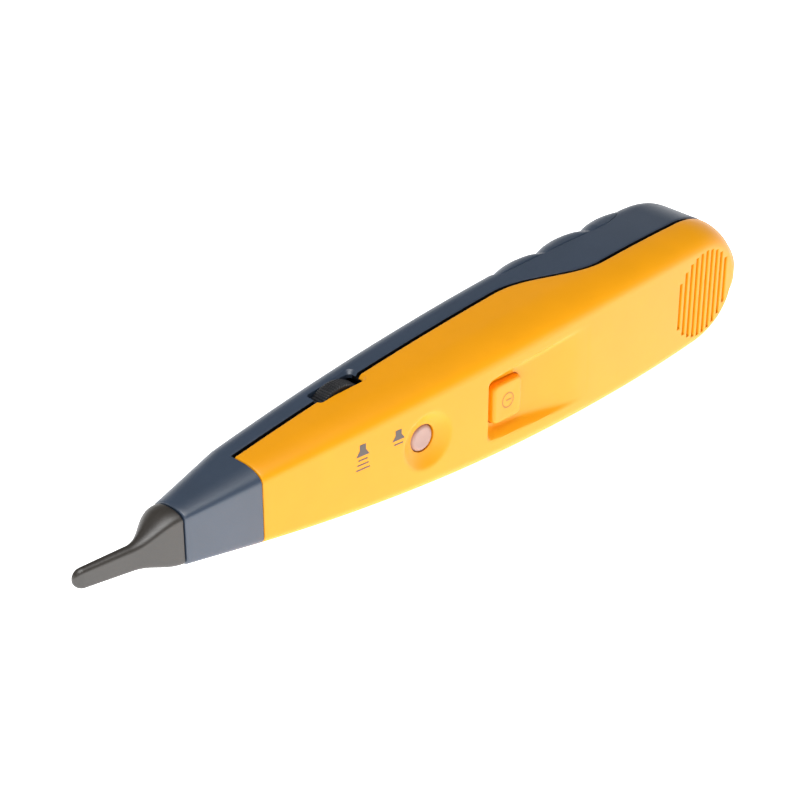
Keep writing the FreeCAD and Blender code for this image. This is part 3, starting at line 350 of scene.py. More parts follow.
def bezier(t, a, b, c, d):
    """Cubic through a and d, pulled towards b and c."""
    return (1 - t) ** 3 * a + 3 * (1 - t) ** 2 * t * b + 3 * (1 - t) * t ** 2 * c + t ** 3 * d


QUARTER = np.linspace(0.0, 0.5 * math.pi, 120)


def half_outline(m):
    """Dense points (y, z) of half a section from the middle of the face to the middle of the back."""
    front, flat, waist, side, corner, back, back_flat = m
    cos, sin = np.cos(QUARTER), np.sin(QUARTER)
    y = np.concatenate(([front], waist - (waist - front) * cos, corner + (back - corner) * sin, [back]))
    z = np.concatenate(([0.0], flat + (side - flat) * sin, back_flat + (side - back_flat) * cos, [0.0]))
    return y, z


def arc_lengths(y, z):
    """Length along an outline up to each of its points."""
    return np.concatenate(([0.0], np.cumsum(np.hypot(np.diff(y), np.diff(z)))))


def side_at(m, y):
    """Half width of a section at height y."""
    ys, zs = half_outline(m)
    return float(np.interp(y, ys[1:-1], zs[1:-1]))


class Row:
    """One cross-section of a moulding: on the rounded rear end its place follows the inset."""

    def __init__(self, h, x=None, angle=None, sink=0.0, form=None):
        self.h = h
        self.place = x
        self.angle = angle
        self.sink = sink
        self.form = form or measures

    def x(self, inset=0.0):
        """Place along the housing."""
        if self.angle is None:
            return self.place
        reach = self.h.end_round - inset
        return self.h.end - self.h.end_round + reach * math.sin(self.angle) ** (2.0 / self.h.end_power)

    def measures(self, inset=0.0):
        """Measures of this section."""
        return self.form(self.h, self.x(inset), inset + self.sink)

    def point(self, inset, y):
        """Point of this section's side at height y."""
        return self.x(inset), y, max(side_at(self.measures(inset), y), 0.0)


def spaced(start, stop, step):
    """Places from start up to, but not at, stop."""
    count = max(int(math.ceil((stop - start) / step)), 1)
    return [start + (stop - start) * i / count for i in range(count)]


def rear_rows(h, count):
    """Rows round the rear end."""
    return [Row(h, angle=a) for a in edge_turns(count)]


def edge_turns(count=4):
    """Angles across a rounded edge or end."""
    return [0.5 * math.pi * i / count for i in range(count + 1)]


def edge_steps(edge, count=4):
    """Pairs across a rounded edge: distance in from the skin, distance short of the edge's face."""
    return [(edge * (1.0 - math.cos(a)), edge * (1.0 - math.sin(a))) for a in edge_turns(count)]


# Dish and thumb scoop

# Pulls of the scoop's floor at its two ends, as shares of its length, and the fall of its signed depth
# behind its rear end
SCOOP_PULLS = (0.5, 0.25)
SCOOP_FALL = 0.2


def soft_min(a, b, blend):
    """The lesser of two values, blended where they are close."""
    return 0.5 * (a + b - math.sqrt((a - b) ** 2 + blend ** 2))


def scoop_floor(h, k, x):
    """Depth of the scoop's floor below the face."""
    front = k.power_at - k.scoop_ahead
    rear = front + k.scoop_length
    floor = face_y(h, front) + k.scoop_depth
    out = face_y(h, rear)
    if x >= rear:
        return -SCOOP_FALL * (x - rear)
    t = np.linspace(0.0, 1.0, 120)
    ahead, behind = SCOOP_PULLS
    along = bezier(t, front, front + ahead * k.scoop_length, rear - behind * k.scoop_length, rear)
    level = bezier(t, floor, floor, out, out)
    return float(np.interp(x, along, level)) - face_y(h, x)


def scoop_sink(k, x, z, floor):
    """Signed depth of the thumb scoop."""
    front = k.power_at - k.scoop_ahead
    t = (x - front) / k.scoop_length
    half = k.scoop_half_front + (k.scoop_half_rear - k.scoop_half_front) * t
    wall = k.scoop_depth + (half - abs(z)) / k.scoop_flare
    ahead = (x - front) / k.scoop_front_flare
    corner = soft_min(wall, ahead, 3.0 * k.hollow_blend)
    return soft_min(floor, corner, k.hollow_blend)


def face_sink(k, x, z, floor):
    """How deep the face lies below its plain surface at x and z."""
    away = math.hypot(x - k.filter_at, z) / k.dish_radius
    dish = k.dish_depth * (1.0 - away * away)
    deepest = max(dish, scoop_sink(k, x, z, floor))
    blended = (deepest + k.rim_blend) ** 2 / (4.0 * k.rim_blend)
    return 0.0 if deepest < -k.rim_blend else deepest if deepest > k.rim_blend else blended


# Mesh helpers

def add_grid(bm, rows):
    """Quads between successive rows of points."""
    made = [[bm.verts.new(point) for point in row] for row in rows]
    for low, high in zip(made, made[1:]):
        for j in range(len(low) - 1):
            bm.faces.new((low[j], low[j + 1], high[j + 1], high[j]))


def add_rings(bm, rings, closed=False):
    """Rings of points joined one after another: capped at both ends, or the last joined to the first."""
    made = [[bm.verts.new(point) for point in ring] for ring in rings]
    for low, high in zip(made, made[1:] + (made[:1] if closed else [])):
        count = len(low)
        for j in range(count):
            following = (j + 1) % count
            bm.faces.new((low[j], low[following], high[following], high[j]))
    if not closed:
        bm.faces.new(made[0])
        bm.faces.new(made[-1])


def add_trough(bm, outer, inner, edge_points, ends):
    """Closed wall between two skins: an inner row ends on the same point as its outer row's edge points."""
    add_grid(bm, outer)
    add_grid(bm, inner)
    for i in ends:
        add_grid(bm, [outer[i][edge_points:-edge_points], inner[i][1:-1]])
        for corner in ((*outer[i][:edge_points + 1], inner[i][1]),
                       (*outer[i][-edge_points - 1:], inner[i][-2])):
            bm.faces.new([bm.verts.new(point) for point in corner])


def close_mesh(bm, merge=0.002 * MM):
    """Merges shared borders, fills the pinholes where skins end in a point and turns every face outwards."""
    bmesh.ops.remove_doubles(bm, verts=bm.verts, dist=merge)
    bmesh.ops.dissolve_degenerate(bm, edges=bm.edges, dist=0.5 * merge)
    bmesh.ops.holes_fill(bm, edges=[edge for edge in bm.edges if edge.is_boundary], sides=0)
    bmesh.ops.recalc_face_normals(bm, faces=bm.faces)


def mesh_object(name, bm, material, home=True):
    """New object from a mesh drawn from the tip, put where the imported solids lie."""
    close_mesh(bm)
    if home:
        bmesh.ops.translate(bm, verts=bm.verts, vec=home_shift())
    mesh = bpy.data.meshes.new(name)
    bm.to_mesh(mesh)
    bm.free()
    mesh.materials.append(material)
    piece = bpy.data.objects.new(name, mesh)
    bpy.context.scene.collection.objects.link(piece)
    return piece


def ring_object(name, rings, material, closed=False, home=True):
    """New object from rings of points."""
    bm = bmesh.new()
    add_rings(bm, rings, closed)
    return mesh_object(name, bm, material, home)


def turned_object(name, x, z, levels, material, count=32, home=True):
    """New object turned about a Y axis at x and z, from pairs of radius and height."""
    rings = [ring_circle(x, y, z, radius, count) for radius, y in levels]
    return ring_object(name, rings, material, home=home)


def trough_object(name, outer, inner, edge_points, ends, material):
    """New object from the outer and inner rows of a trough."""
    bm = bmesh.new()
    add_trough(bm, outer, inner, edge_points, ends)
    return mesh_object(name, bm, material)


def plain_mesh(piece):
    """Replaces a piece's mesh by its evaluated one and drops its modifiers."""
    bpy.context.view_layer.update()
    shown = piece.evaluated_get(bpy.context.evaluated_depsgraph_get())
    old = piece.data
    mesh = bpy.data.meshes.new_from_object(shown)
    piece.modifiers.clear()
    piece.data = mesh
    mesh.name = piece.name
    bpy.data.meshes.remove(old)


def carve(piece, operation, *others):
    """Joins other objects to a piece or cuts them out of it, and removes them."""
    for other in others:
        change = piece.modifiers.new("Carve", "BOOLEAN")
        change.operation = operation
        change.solver = "EXACT"
        change.object = other
    plain_mesh(piece)
    for other in others:
        bpy.data.objects.remove(other)
    bm = bmesh.new()
    bm.from_mesh(piece.data)
    close_mesh(bm)
    bm.to_mesh(piece.data)
    bm.free()


def dress(piece, body, nodes=(), sharp=32.0):
    """Shades a piece, sets it on its body and hides the solids that it stands for."""
    mesh = piece.data
    mesh.polygons.foreach_set("use_smooth", [True] * len(mesh.polygons))
    mesh.set_sharp_from_angle(angle=math.radians(sharp))
    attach(piece, body)
    if nodes:
        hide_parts(*nodes)
    return piece


def ring_circle(x, y, z, radius, count):
    """Points of a circle about a Y axis."""
    turns = [2.0 * math.pi * i / count for i in range(count)]
    return [(x + radius * math.cos(a), y, z + radius * math.sin(a)) for a in turns]


def ring_block(x, y, half_length, half_width, corner, count):
    """Points of a rounded rectangle about a Y axis, as many as the circle of the same count has."""
    points = []
    quarter = count // 4
    for i, (sx, sz) in enumerate(((1, 1), (-1, 1), (-1, -1), (1, -1))):
        for j in range(quarter):
            a = 0.5 * math.pi * (i + j / (quarter - 1.0))
            points.append((x + sx * (half_length - corner) + corner * math.cos(a), y,
                           sz * (half_width - corner) + corner * math.sin(a)))
    return points


# Nodes

def feed(tree, node, inputs):
    """Links or sets some of a node's inputs."""
    for label, value in inputs.items():
        socket = node.inputs[label]
        if isinstance(value, bpy.types.NodeSocket):
            tree.links.new(value, socket)
        else:
            socket.default_value = value
    return node


def add_node(tree, kind, inputs=None):
    """New node with some of its inputs fed."""
    return feed(tree, tree.nodes.new(kind), inputs or {})


def math_node(tree, operation, *values):
    """Result of a math node fed by sockets or numbers."""
    node = add_node(tree, "ShaderNodeMath", dict(enumerate(values)))
    node.operation = operation
    return node.outputs[0]


# Geometry node trees

def new_tree(name, inputs):
    """Empty tree with named inputs, the outputs of its group input and its group output."""
    tree = bpy.data.node_groups.new(name, "GeometryNodeTree")
    for label, kind in inputs:
        tree.interface.new_socket(label, in_out="INPUT", socket_type="NodeSocket" + kind)
    tree.interface.new_socket("Geometry", in_out="OUTPUT", socket_type="NodeSocketGeometry")
    return tree, tree.nodes.new("NodeGroupInput").outputs, tree.nodes.new("NodeGroupOutput")


def end_tree(tree, points, pattern, given, output, inputs=None):
    """Sets an object on points, makes the instances real, sets the material and ends the tree."""
    info = add_node(tree, "GeometryNodeObjectInfo", {"Object": pattern})
    spread = add_node(tree, "GeometryNodeInstanceOnPoints", {
        "Points": points, "Instance": info.outputs["Geometry"], **(inputs or {})})
    solid = add_node(tree, "GeometryNodeRealizeInstances", {"Geometry": spread.outputs["Instances"]})
    paint = add_node(tree, "GeometryNodeSetMaterial", {
        "Geometry": solid.outputs["Geometry"], "Material": given["Material"]})
    feed(tree, output, {"Geometry": paint.outputs["Geometry"]})


def grille_tree():
    """Row of slots across a round field: each reaches as far as the circle and as deep as the bowed face."""
    tree, given, output = new_tree("Grille slots", [
        ("Count", "Int"), ("Pitch", "Float"), ("Radius", "Float"), ("End", "Float"), ("Ahead", "Float"),
        ("Bow", "Float"), ("Slot", "Object"), ("Material", "Material")])
    index = add_node(tree, "GeometryNodeInputIndex").outputs[0]
    middle = math_node(tree, "MULTIPLY", math_node(tree, "SUBTRACT", given["Count"], 1.0), 0.5)
    offset = math_node(tree, "MULTIPLY", math_node(tree, "SUBTRACT", index, middle), given["Pitch"])
    square = math_node(tree, "SUBTRACT", math_node(tree, "POWER", given["Radius"], 2.0),
                       math_node(tree, "POWER", offset, 2.0))
    reach = math_node(tree, "SUBTRACT", math_node(tree, "SQRT", square), given["End"])
    ahead = math_node(tree, "POWER", math_node(tree, "ADD", offset, given["Ahead"]), 2.0)
    fall = math_node(tree, "DIVIDE", ahead, math_node(tree, "MULTIPLY", given["Bow"], 2.0))
    line = add_node(tree, "GeometryNodeMeshLine", {"Count": given["Count"]})
    place = add_node(tree, "ShaderNodeCombineXYZ", {"X": offset, "Y": fall})
    move = add_node(tree, "GeometryNodeSetPosition", {
        "Geometry": line.outputs["Mesh"], "Position": place.outputs[0]})
    stretch = add_node(tree, "ShaderNodeCombineXYZ", {"X": 1.0, "Y": 1.0, "Z": reach})
    end_tree(tree, move.outputs["Geometry"], given["Slot"], given, output, {"Scale": stretch.outputs[0]})
    return tree


def screw_tree():
    """The same screw at each point of a mesh."""
    tree, given, output = new_tree("Screws", [
        ("Spots", "Geometry"), ("Screw", "Object"), ("Material", "Material")])
    end_tree(tree, given["Spots"], given["Screw"], given, output)
    return tree


def grow(name, tree, values, spots=()):
    """Plain mesh object made by a tree from named values."""
    mesh = bpy.data.meshes.new(name)
    mesh.from_pydata(list(spots), [], [])
    piece = bpy.data.objects.new(name, mesh)
    bpy.context.scene.collection.objects.link(piece)
    nodes = piece.modifiers.new("Grow", "NODES")
    nodes.node_group = tree
    for socket in tree.interface.items_tree:
        if socket.in_out == "INPUT" and socket.name in values:
            nodes[socket.identifier] = values[socket.name]
    plain_mesh(piece)
    return piece


# Materials

def new_material(name):
    """Material with its node tree and shader."""
    material = bpy.data.materials.new(name)
    material.use_nodes = True
    tree = material.node_tree
    return material, tree, tree.nodes["Principled BSDF"]


def own_place(tree):
    """The piece's own coordinates."""
    return add_node(tree, "ShaderNodeTexCoord").outputs["Object"]


def noise(tree, scale, detail=3.0):
    """Noise on the piece's own coordinates."""
    texture = add_node(tree, "ShaderNodeTexNoise", {
        "Scale": scale, "Detail": detail, "Vector": own_place(tree)})
    return texture.outputs["Fac"]


def ramp(tree, factor, low, high, start=0.3, stop=0.7):
    """Colour between two tones."""
    node = add_node(tree, "ShaderNodeValToRGB", {"Fac": factor})
    for element, position, tone in zip(node.color_ramp.elements, (start, stop), (low, high)):
        element.position = position
        element.color = (*tone, 1.0)
    return node.outputs["Color"]


def spread_value(tree, factor, low, high):
    """Number that runs from low to high with a factor."""
    node = add_node(tree, "ShaderNodeMapRange", {"To Min": low, "To Max": high, "Value": factor})
    return node.outputs["Result"]


def bump(tree, factor, strength, depth):
    """Relief from a factor."""
    node = add_node(tree, "ShaderNodeBump", {"Strength": strength, "Distance": depth, "Height": factor})
    return node.outputs["Normal"]


def shade(colour, factor):
    """A colour made lighter or darker."""
    return tuple(min(c * factor, 1.0) for c in colour)


# Patches of drifting tone in a metre, uneven gloss of a moulding and depth of its grain
MOTTLE = 90.0
GLOSS_DRIFT = 0.06
GRAIN_DEPTH = 0.02 * MM


def finish(name, colour, rough, grain, relief=0.15, metal=0.0, drift=0.06, level=0.5):
    """Finish with drifting tone, uneven gloss and a fine grain, grain given in marks per metre."""
    material, tree, shader = new_material(name)
    fine = noise(tree, grain, 2.0)
    feed(tree, shader, {
        "Base Color": ramp(tree, noise(tree, MOTTLE), *(shade(colour, 1.0 + d) for d in (-drift, drift))),
        "Roughness": spread_value(tree, fine, rough - GLOSS_DRIFT, rough + GLOSS_DRIFT),
        "Normal": bump(tree, fine, relief, GRAIN_DEPTH), "Metallic": metal, "Specular IOR Level": level})
    return material


def cell_finish(name, dark, light, scale, rough, relief):
    """Finish with open cells, as foam or a sintered face has."""
    material, tree, shader = new_material(name)
    cells = add_node(tree, "ShaderNodeTexVoronoi", {"Scale": scale, "Vector": own_place(tree)})
    depth = cells.outputs["Distance"]
    feed(tree, shader, {"Base Color": ramp(tree, depth, light, dark, 0.1, 0.8), "Roughness": rough,
                        "Normal": bump(tree, depth, relief, 0.2 * MM)})
    return material


def board_finish(name, mask, copper):
    """Solder mask over a net of tracks."""
    material, tree, shader = new_material(name)
    turn = add_node(tree, "ShaderNodeMapping", {
        "Rotation": (0.5 * math.pi, 0.0, 0.0), "Vector": own_place(tree)})
    tracks = add_node(tree, "ShaderNodeTexBrick", {
        "Scale": 180.0, "Mortar Size": 0.06, "Color1": (*mask, 1.0), "Color2": (*shade(mask, 0.85), 1.0),
        "Mortar": (*copper, 1.0), "Vector": turn.outputs["Vector"]})
    feed(tree, shader, {
        "Base Color": tracks.outputs["Color"],
        "Roughness": spread_value(tree, noise(tree, 400.0), 0.28, 0.4),
        "Normal": bump(tree, tracks.outputs["Fac"], 0.3, 0.05 * MM)})
    return material


def jacket_finish(name, body, band):
    """Wrapped jacket of the battery with a band of another colour at its front end."""
    material, tree, shader = new_material(name)
    low, high = (corner.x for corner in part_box("battery"))
    split, half = low + 0.32 * (high - low), 0.02 * (high - low)
    apart = add_node(tree, "ShaderNodeSeparateXYZ", {"Vector": own_place(tree)})
    along = add_node(tree, "ShaderNodeMapRange", {
        "From Min": split - half, "From Max": split + half, "Value": apart.outputs["X"]})
    feed(tree, shader, {
        "Base Color": ramp(tree, along.outputs["Result"], band, body, 0.49, 0.51),
        "Roughness": spread_value(tree, noise(tree, 300.0), 0.2, 0.34), "Metallic": 0.6})
    return material


# Finishes of the inner pieces: colour, roughness, grain in marks per metre, relief, metal and drift
INNER_FINISHES = {
    "screw_steel": ((0.50, 0.50, 0.52), 0.30, 1500.0, 0.12, 1.0),
    "pin_brass": ((0.72, 0.50, 0.20), 0.26, 1500.0, 0.10, 1.0),
    "lead_black": ((0.020, 0.020, 0.022), 0.48, 1200.0, 0.20),
    "chip_black": ((0.016, 0.016, 0.018), 0.60, 3200.0, 0.40),
    "can_silver": ((0.60, 0.61, 0.63), 0.28, 900.0, 0.15, 1.0),
    "switch_black": ((0.020, 0.020, 0.021), 0.46, 1500.0, 0.25),
    "plunger_grey": ((0.24, 0.24, 0.25), 0.44, 1500.0, 0.20),
    "pot_brown": ((0.11, 0.055, 0.025), 0.52, 1400.0, 0.30, 0.0, 0.15),
    "basket_black": ((0.030, 0.030, 0.032), 0.40, 1600.0, 0.20, 0.5),
    "snap_black": ((0.020, 0.020, 0.021), 0.50, 1500.0, 0.25),
}
# Pieces with open cells: dark and light tone, cells per metre, roughness and relief
CELL_FINISHES = {
    "foam_grey": ((0.05, 0.05, 0.055), (0.16, 0.16, 0.17), 900.0, 0.95, 0.7),
    "cone_black": ((0.012, 0.012, 0.013), (0.035, 0.035, 0.036), 2200.0, 0.90, 0.4),
    "magnet_grey": ((0.06, 0.06, 0.065), (0.11, 0.11, 0.115), 1800.0, 0.55, 0.3),
}


def material_for(slot):
    """Finish of a record slot, made once."""
    name = slot + "_finish"
    made = bpy.data.materials.get(name)
    if made:
        return made
    if slot in INNER_FINISHES:
        return finish(name, *INNER_FINISHES[slot])
    if slot in CELL_FINISHES:
        return cell_finish(name, *CELL_FINISHES[slot])
    f = bpy.context.scene.tracer_finishes
    makers = {
        "face_yellow": lambda: finish(name, f.face_yellow, 0.40, 2600.0, 0.10, drift=0.02, level=0.4),
        "grip_navy": lambda: finish(name, f.grip_navy, 0.42, 2200.0, 0.30, drift=0.05, level=0.9),
        "tip_black": lambda: finish(name, f.tip_black, 0.46, 1800.0, 0.25, drift=0.10, level=0.9),
        "button_white": lambda: finish(name, f.key_white, 0.42, 2400.0, 0.12, drift=0.02),
        "wheel_black": lambda: finish(name, f.wheel_black, 0.42, 1800.0, 0.25),
        "board_green": lambda: board_finish(name, (0.010, 0.120, 0.045), (0.09, 0.26, 0.09)),
        "battery_jacket": lambda: jacket_finish(name, (0.030, 0.032, 0.036), (0.50, 0.33, 0.14)),
    }
    return makers[slot]()


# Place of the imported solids

def home_shift():
    """Shift from the drawing, measured from the tip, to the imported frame: both know the wheel's axle."""
    h, _, t = sizes()
    axle = next(j for j in frame["joints"] if j["name"] == "volume_turn")["pos_m"]
    return Vector(axle) - Vector((t.wheel_at, t.wheel_middle, wheel_z(h, t)))


def wheel_z(h, t):
    """Height of the wheel's axle above the middle plane."""
    return side_z(h, t.wheel_at) + t.wheel_proud - t.wheel_radius


# Shells

# Points of half a row: across the flat of the face, from there to the parting line, across the grip, and
# along the five stretches of a closed section
FRONT_COLUMNS = (30, 20)
BACK_COLUMNS = 34
RING_COLUMNS = (10, 18, 4, 16, 5)

# Distance between rows of grip and collar, of the face, of its hollows, of the collar's inside, of the door
# and of the tip, and the number of rows round the rear end
ROW_STEP = 1.2 * MM
FACE_STEP = 1.3 * MM
HOLLOW_STEP = 0.45 * MM
INNER_STEP = 2.4 * MM
DOOR_STEP = 0.5 * MM
TIP_STEP = 0.4 * MM
REAR_ROWS = 30

# How far the close rows start ahead of the dish, in dish radii, and how far they go on behind the scoop
DISH_REACH = 1.3
SCOOP_MARGIN = 2.0 * MM

# Room between lip and rebate, and between the lip's end and its seat
LIP_ROOM = 0.1 * MM
LIP_END_ROOM = 0.3 * MM


def mirrored(half):
    """Whole row from one edge to the other, from half a row that starts on the middle plane."""
    return [(x, y, -z) for x, y, z in reversed(half[1:])] + list(half)


def skin_points(row, inset, y_end, steps_to):
    """Half a row of skin at the lengths along its outline that steps_to chooses, up to height y_end."""
    ys, zs = half_outline(row.measures(inset))
    along = arc_lengths(ys, zs)
    edge = float(np.interp(y_end, ys[1:-1], along[1:-1]))
    steps = steps_to(along, edge)
    x = row.x(inset)
    return [(x, y, max(z, 0.0)) for y, z in zip(np.interp(steps, along, ys), np.interp(steps, along, zs))]


def front_half(row, inset, y_end):
    """Half a row of the face moulding from the middle of the face."""
    flat, rest = FRONT_COLUMNS
    return skin_points(row, inset, y_end, lambda along, edge: np.concatenate((
        np.linspace(0.0, along[1], flat, endpoint=False), np.linspace(along[1], edge, rest))))


def back_half(row, inset, y_end):
    """Half a row of the grip from the middle of the back."""
    return skin_points(row, inset, y_end, lambda along, edge: np.linspace(along[-1], edge, BACK_COLUMNS))


def ring_half(row, inset):
    """Half a closed section from the middle of the face to the middle of the back."""
    corners = (0, 1, len(QUARTER), len(QUARTER) + 1, 2 * len(QUARTER), -1)
    stretches = list(zip(corners, corners[1:], RING_COLUMNS))
    return skin_points(row, inset, 0.0, lambda along, edge: np.concatenate([
        *(np.linspace(along[i], along[j], n, endpoint=False) for i, j, n in stretches), along[-1:]]))


def whole_ring(row, inset=0.0):
    """Closed section of the collar."""
    half = ring_half(row, inset)
    return half + [(x, y, -z) for x, y, z in reversed(half[1:-1])]


def front_rows(h, k):
    """Rows of the face moulding, close together where dish and scoop lie."""
    start = h.rim + h.rim_gap
    dish = k.filter_at - DISH_REACH * k.dish_radius
    hollows_end = k.power_at - k.scoop_ahead + k.scoop_length + SCOOP_MARGIN
    rows = [Row(h, start + along, sink=deep) for along, deep in edge_steps(h.edge)[:-1]]
    places = spaced(start + h.edge, dish, FACE_STEP) + spaced(dish, hollows_end, HOLLOW_STEP)
    places += spaced(hollows_end, h.end - h.end_round, FACE_STEP)
    return rows + [Row(h, x) for x in places] + rear_rows(h, REAR_ROWS)


def sunk(h, k, half, floors):
    """Half a row with the dish and the scoop pressed into it."""
    moved = []
    for x, y, z in half:
        if x not in floors:
            floors[x] = scoop_floor(h, k, x)
        moved.append((x, y + face_sink(k, x, z, floors[x]), z))
    return moved


def rounded_edge(row, edge, y, inwards):
    """Points of a rounded edge from the skin to the edge's face at height y."""
    return [row.point(inset, y + inwards * short) for inset, short in edge_steps(edge)]


def lip_step(row, y, lip_inset, lip_y, wall):
    """Step of the lip from the edge's face to the inner skin."""
    return [row.point(lip_inset, y), row.point(lip_inset, lip_y), row.point(wall, lip_y)]


SEAM_POINTS = len(edge_turns()) + 3


def face_shell(h, k, material):
    """Closed face moulding: skin, rounded seam edge, rebate for the lip and inner skin."""
    outer, inner, floors = [], [], {}
    rebate = h.wall - h.lip_wall - LIP_ROOM
    for row in front_rows(h, k):
        top = seam_y(h, row.x()) - 0.5 * h.seam_gap
        foot = top - h.lip_height
        step = lip_step(row, top, rebate, foot, h.wall)
        skin = sunk(h, k, front_half(row, 0.0, foot - h.edge), floors)
        outer.append(mirrored(skin + rounded_edge(row, h.edge, top, -1.0) + step))
        inner.append(mirrored(sunk(h, k, front_half(row, h.wall, foot - h.edge), floors) + step[-1:]))
    return trough_object("face_moulding", outer, inner, SEAM_POINTS, [0], material)


def grip_rows(h):
    """Rows of the grip: a sunk tongue inside the collar, a step up to the rim, the rest to the rear end."""
    tongue, at_rim, deep, shallow = 1.0 * MM, 0.02 * MM, 0.3 * MM, 0.005 * MM
    rows = [Row(h, h.rim - ahead, sink=sink)
            for ahead, sink in ((tongue, deep), (at_rim, deep), (at_rim, shallow))]
    places = spaced(h.rim + 0.3 * MM, h.end - h.end_round, ROW_STEP)
    return rows + [Row(h, x) for x in places] + rear_rows(h, REAR_ROWS)


def grip_shell(h, material):
    """Closed grip trough with the lip that crosses the parting line, its front end inside the collar."""
    outer, inner = [], []
    for row in grip_rows(h):
        edge = seam_y(h, row.x()) + 0.5 * h.seam_gap
        lip = edge - h.seam_gap - h.lip_height + LIP_END_ROOM
        step = lip_step(row, edge, h.wall - h.lip_wall, lip, h.wall)
        skin = back_half(row, 0.0, edge + 2.0 * h.edge) + rounded_edge(row, h.edge, edge, 1.0)
        outer.append(mirrored(skin + step))
        inner.append(mirrored(back_half(row, h.wall, edge + 2.0 * h.edge) + step[-1:]))
    return trough_object("grip_moulding", outer, inner, SEAM_POINTS, [0], material)


def collar(h, material):
    """Closed tube of the collar with a rounded mouth."""
    places = reversed(spaced(h.collar_front + h.edge, h.rim, ROW_STEP) + [h.rim])
    rows = [Row(h, x) for x in places]
    rows += [Row(h, h.collar_front + along, sink=deep) for along, deep in reversed(edge_steps(h.edge)[:-1])]
    rings = [whole_ring(row) for row in rows]
    rings += [whole_ring(Row(h, x), h.wall) for x in spaced(h.collar_front, h.rim, INNER_STEP) + [h.rim]]
    return ring_object("collar", rings, material, closed=True)


class TRACER_OT_face_moulding(bpy.types.Operator):
    """Build the yellow face moulding with dish, thumb scoop, key openings, grille and wheel slot"""

    bl_idname = "tracer.face_moulding"
    bl_label = "Face Moulding"

    def execute(self, context):
        h, k, t = sizes()
        yellow = material_for("face_yellow")
        shell = face_shell(h, k, yellow)
        carve(shell, "DIFFERENCE", key_cutter(h, k, yellow), filter_cutter(h, k, yellow),
              grille_cutter(h, t, yellow), wheel_cutter(h, t, yellow))
        dress(shell, "housing", ["front_shell"])
        return {"FINISHED"}


def paint_joint_shade(shell, h):
    """Paints shade into the parting line: the lip and the wall of the joint get a dull black finish of their
    own, painted shade that stands for the shadow deep in the joint.
    """
    shell.data.materials.append(finish("joint_black", (0.005, 0.005, 0.006), 0.75, 1500.0, level=0.1))
    margin = 0.02 * MM
    shift = home_shift()
    for face in shell.data.polygons:
        x, y, _ = face.center - shift
        if x > h.rim and y < seam_y(h, x) + 0.5 * h.seam_gap + margin:
            face.material_index = 1


class TRACER_OT_grip_moulding(bpy.types.Operator):
    """Build the grip moulding in one piece with the collar, with its screw wells and door opening"""

    bl_idname = "tracer.grip_moulding"
    bl_label = "Grip Moulding"

    def execute(self, context):
        h, _, t = sizes()
        navy = material_for("grip_navy")
        shell = grip_shell(h, navy)
        posts = [well_post(h, t, x, z, navy) for x, z in open_screws(h, t)]
        carve(shell, "UNION", collar(h, navy), *posts)
        wells = [well_cutter(h, t, x, z, navy) for x, z in open_screws(h, t)]
        opening = door_prism(t, t.door_front, t.door_y - t.door_gap, 0.0, navy)
        carve(shell, "DIFFERENCE", opening, wheel_cutter(h, t, navy), *wells)
        # Painted shade: the joint's lip and wall are made black to stand for the shadow in the parting line
        paint_joint_shade(shell, h)
        dress(shell, "housing", ["back_shell"])
        return {"FINISHED"}


# How far cutters start outside the face, how long those of the keys are, how far the others go on past
# what they cut, and the points round a rounded block or a sign
CUT_ABOVE = 4.0 * MM
CUT_LENGTH = 20.0 * MM
CUT_PAST = 12.0 * MM
BLOCK_POINTS = 48


def key_cutter(h, k, material):
    """Opening for the power key."""
    low = face_y(h, k.power_at) - CUT_ABOVE
    rings = [ring_block(k.power_at, y, 0.5 * k.power_length + k.gap, k.power_half + k.gap,
                        k.power_corner + k.gap, BLOCK_POINTS) for y in (low, low + CUT_LENGTH)]
    return ring_object("key_cutter", rings, material)


def filter_cutter(h, k, material):
    """Opening for the filter button."""
    low = face_y(h, k.filter_at) - CUT_ABOVE
    radius = k.filter_radius + k.gap
    levels = [(radius, low), (radius, low + CUT_LENGTH)]
    return turned_object("filter_cutter", k.filter_at, 0.0, levels, material, KEY_POINTS)


def grille_cutter(h, t, material):
    """All slots of the grille as one cutting mesh."""
    half = 0.5 * t.slot_width
    lead = t.slot_lead
    face = -h.face_depth
    outline = [(half + 2.0 * lead, -CUT_ABOVE), (half + lead, 0.0), (half + 0.3 * lead, 0.3 * lead),
               (half, lead), (half, CUT_PAST)]
    loop = [(x, face + y) for x, y in outline]
    loop += [(-x, y) for x, y in reversed(loop)]
    slot = ring_object("slot", [[(x, y, z) for x, y in loop] for z in (-1.0, 1.0)], material, home=False)
    cutter = grow("grille_cutter", grille_tree(), {
        "Count": t.slots, "Pitch": t.slot_pitch, "Radius": t.grille_radius, "End": 2.0 * half,
        "Ahead": t.grille_at - h.face_apex, "Bow": h.face_rear, "Slot": slot, "Material": material})
    bpy.data.objects.remove(slot)
    cutter.data.transform(Matrix.Translation(home_shift() + Vector((t.grille_at, 0.0, 0.0))))
    return cutter


def wheel_cutter(h, t, material):
    """Slot for the volume wheel with rounded corners and a bevelled mouth."""
    side = side_z(h, t.wheel_at)
    half_x, half_y = 0.5 * t.slot_length, 0.5 * t.wheel_thickness + t.wheel_gap
    rings = []
    for depth, more in ((-h.wall, h.wall + t.slot_bevel), (t.slot_bevel, 0.0), (3.0 * h.wall, 0.0)):
        ring = ring_block(t.wheel_at, 0.0, half_x + more, half_y + more, t.slot_corner + more, BLOCK_POINTS)
        rings.append([(x, t.wheel_middle + y, side - depth) for x, _, y in ring])
    return ring_object("wheel_cutter", rings, material)


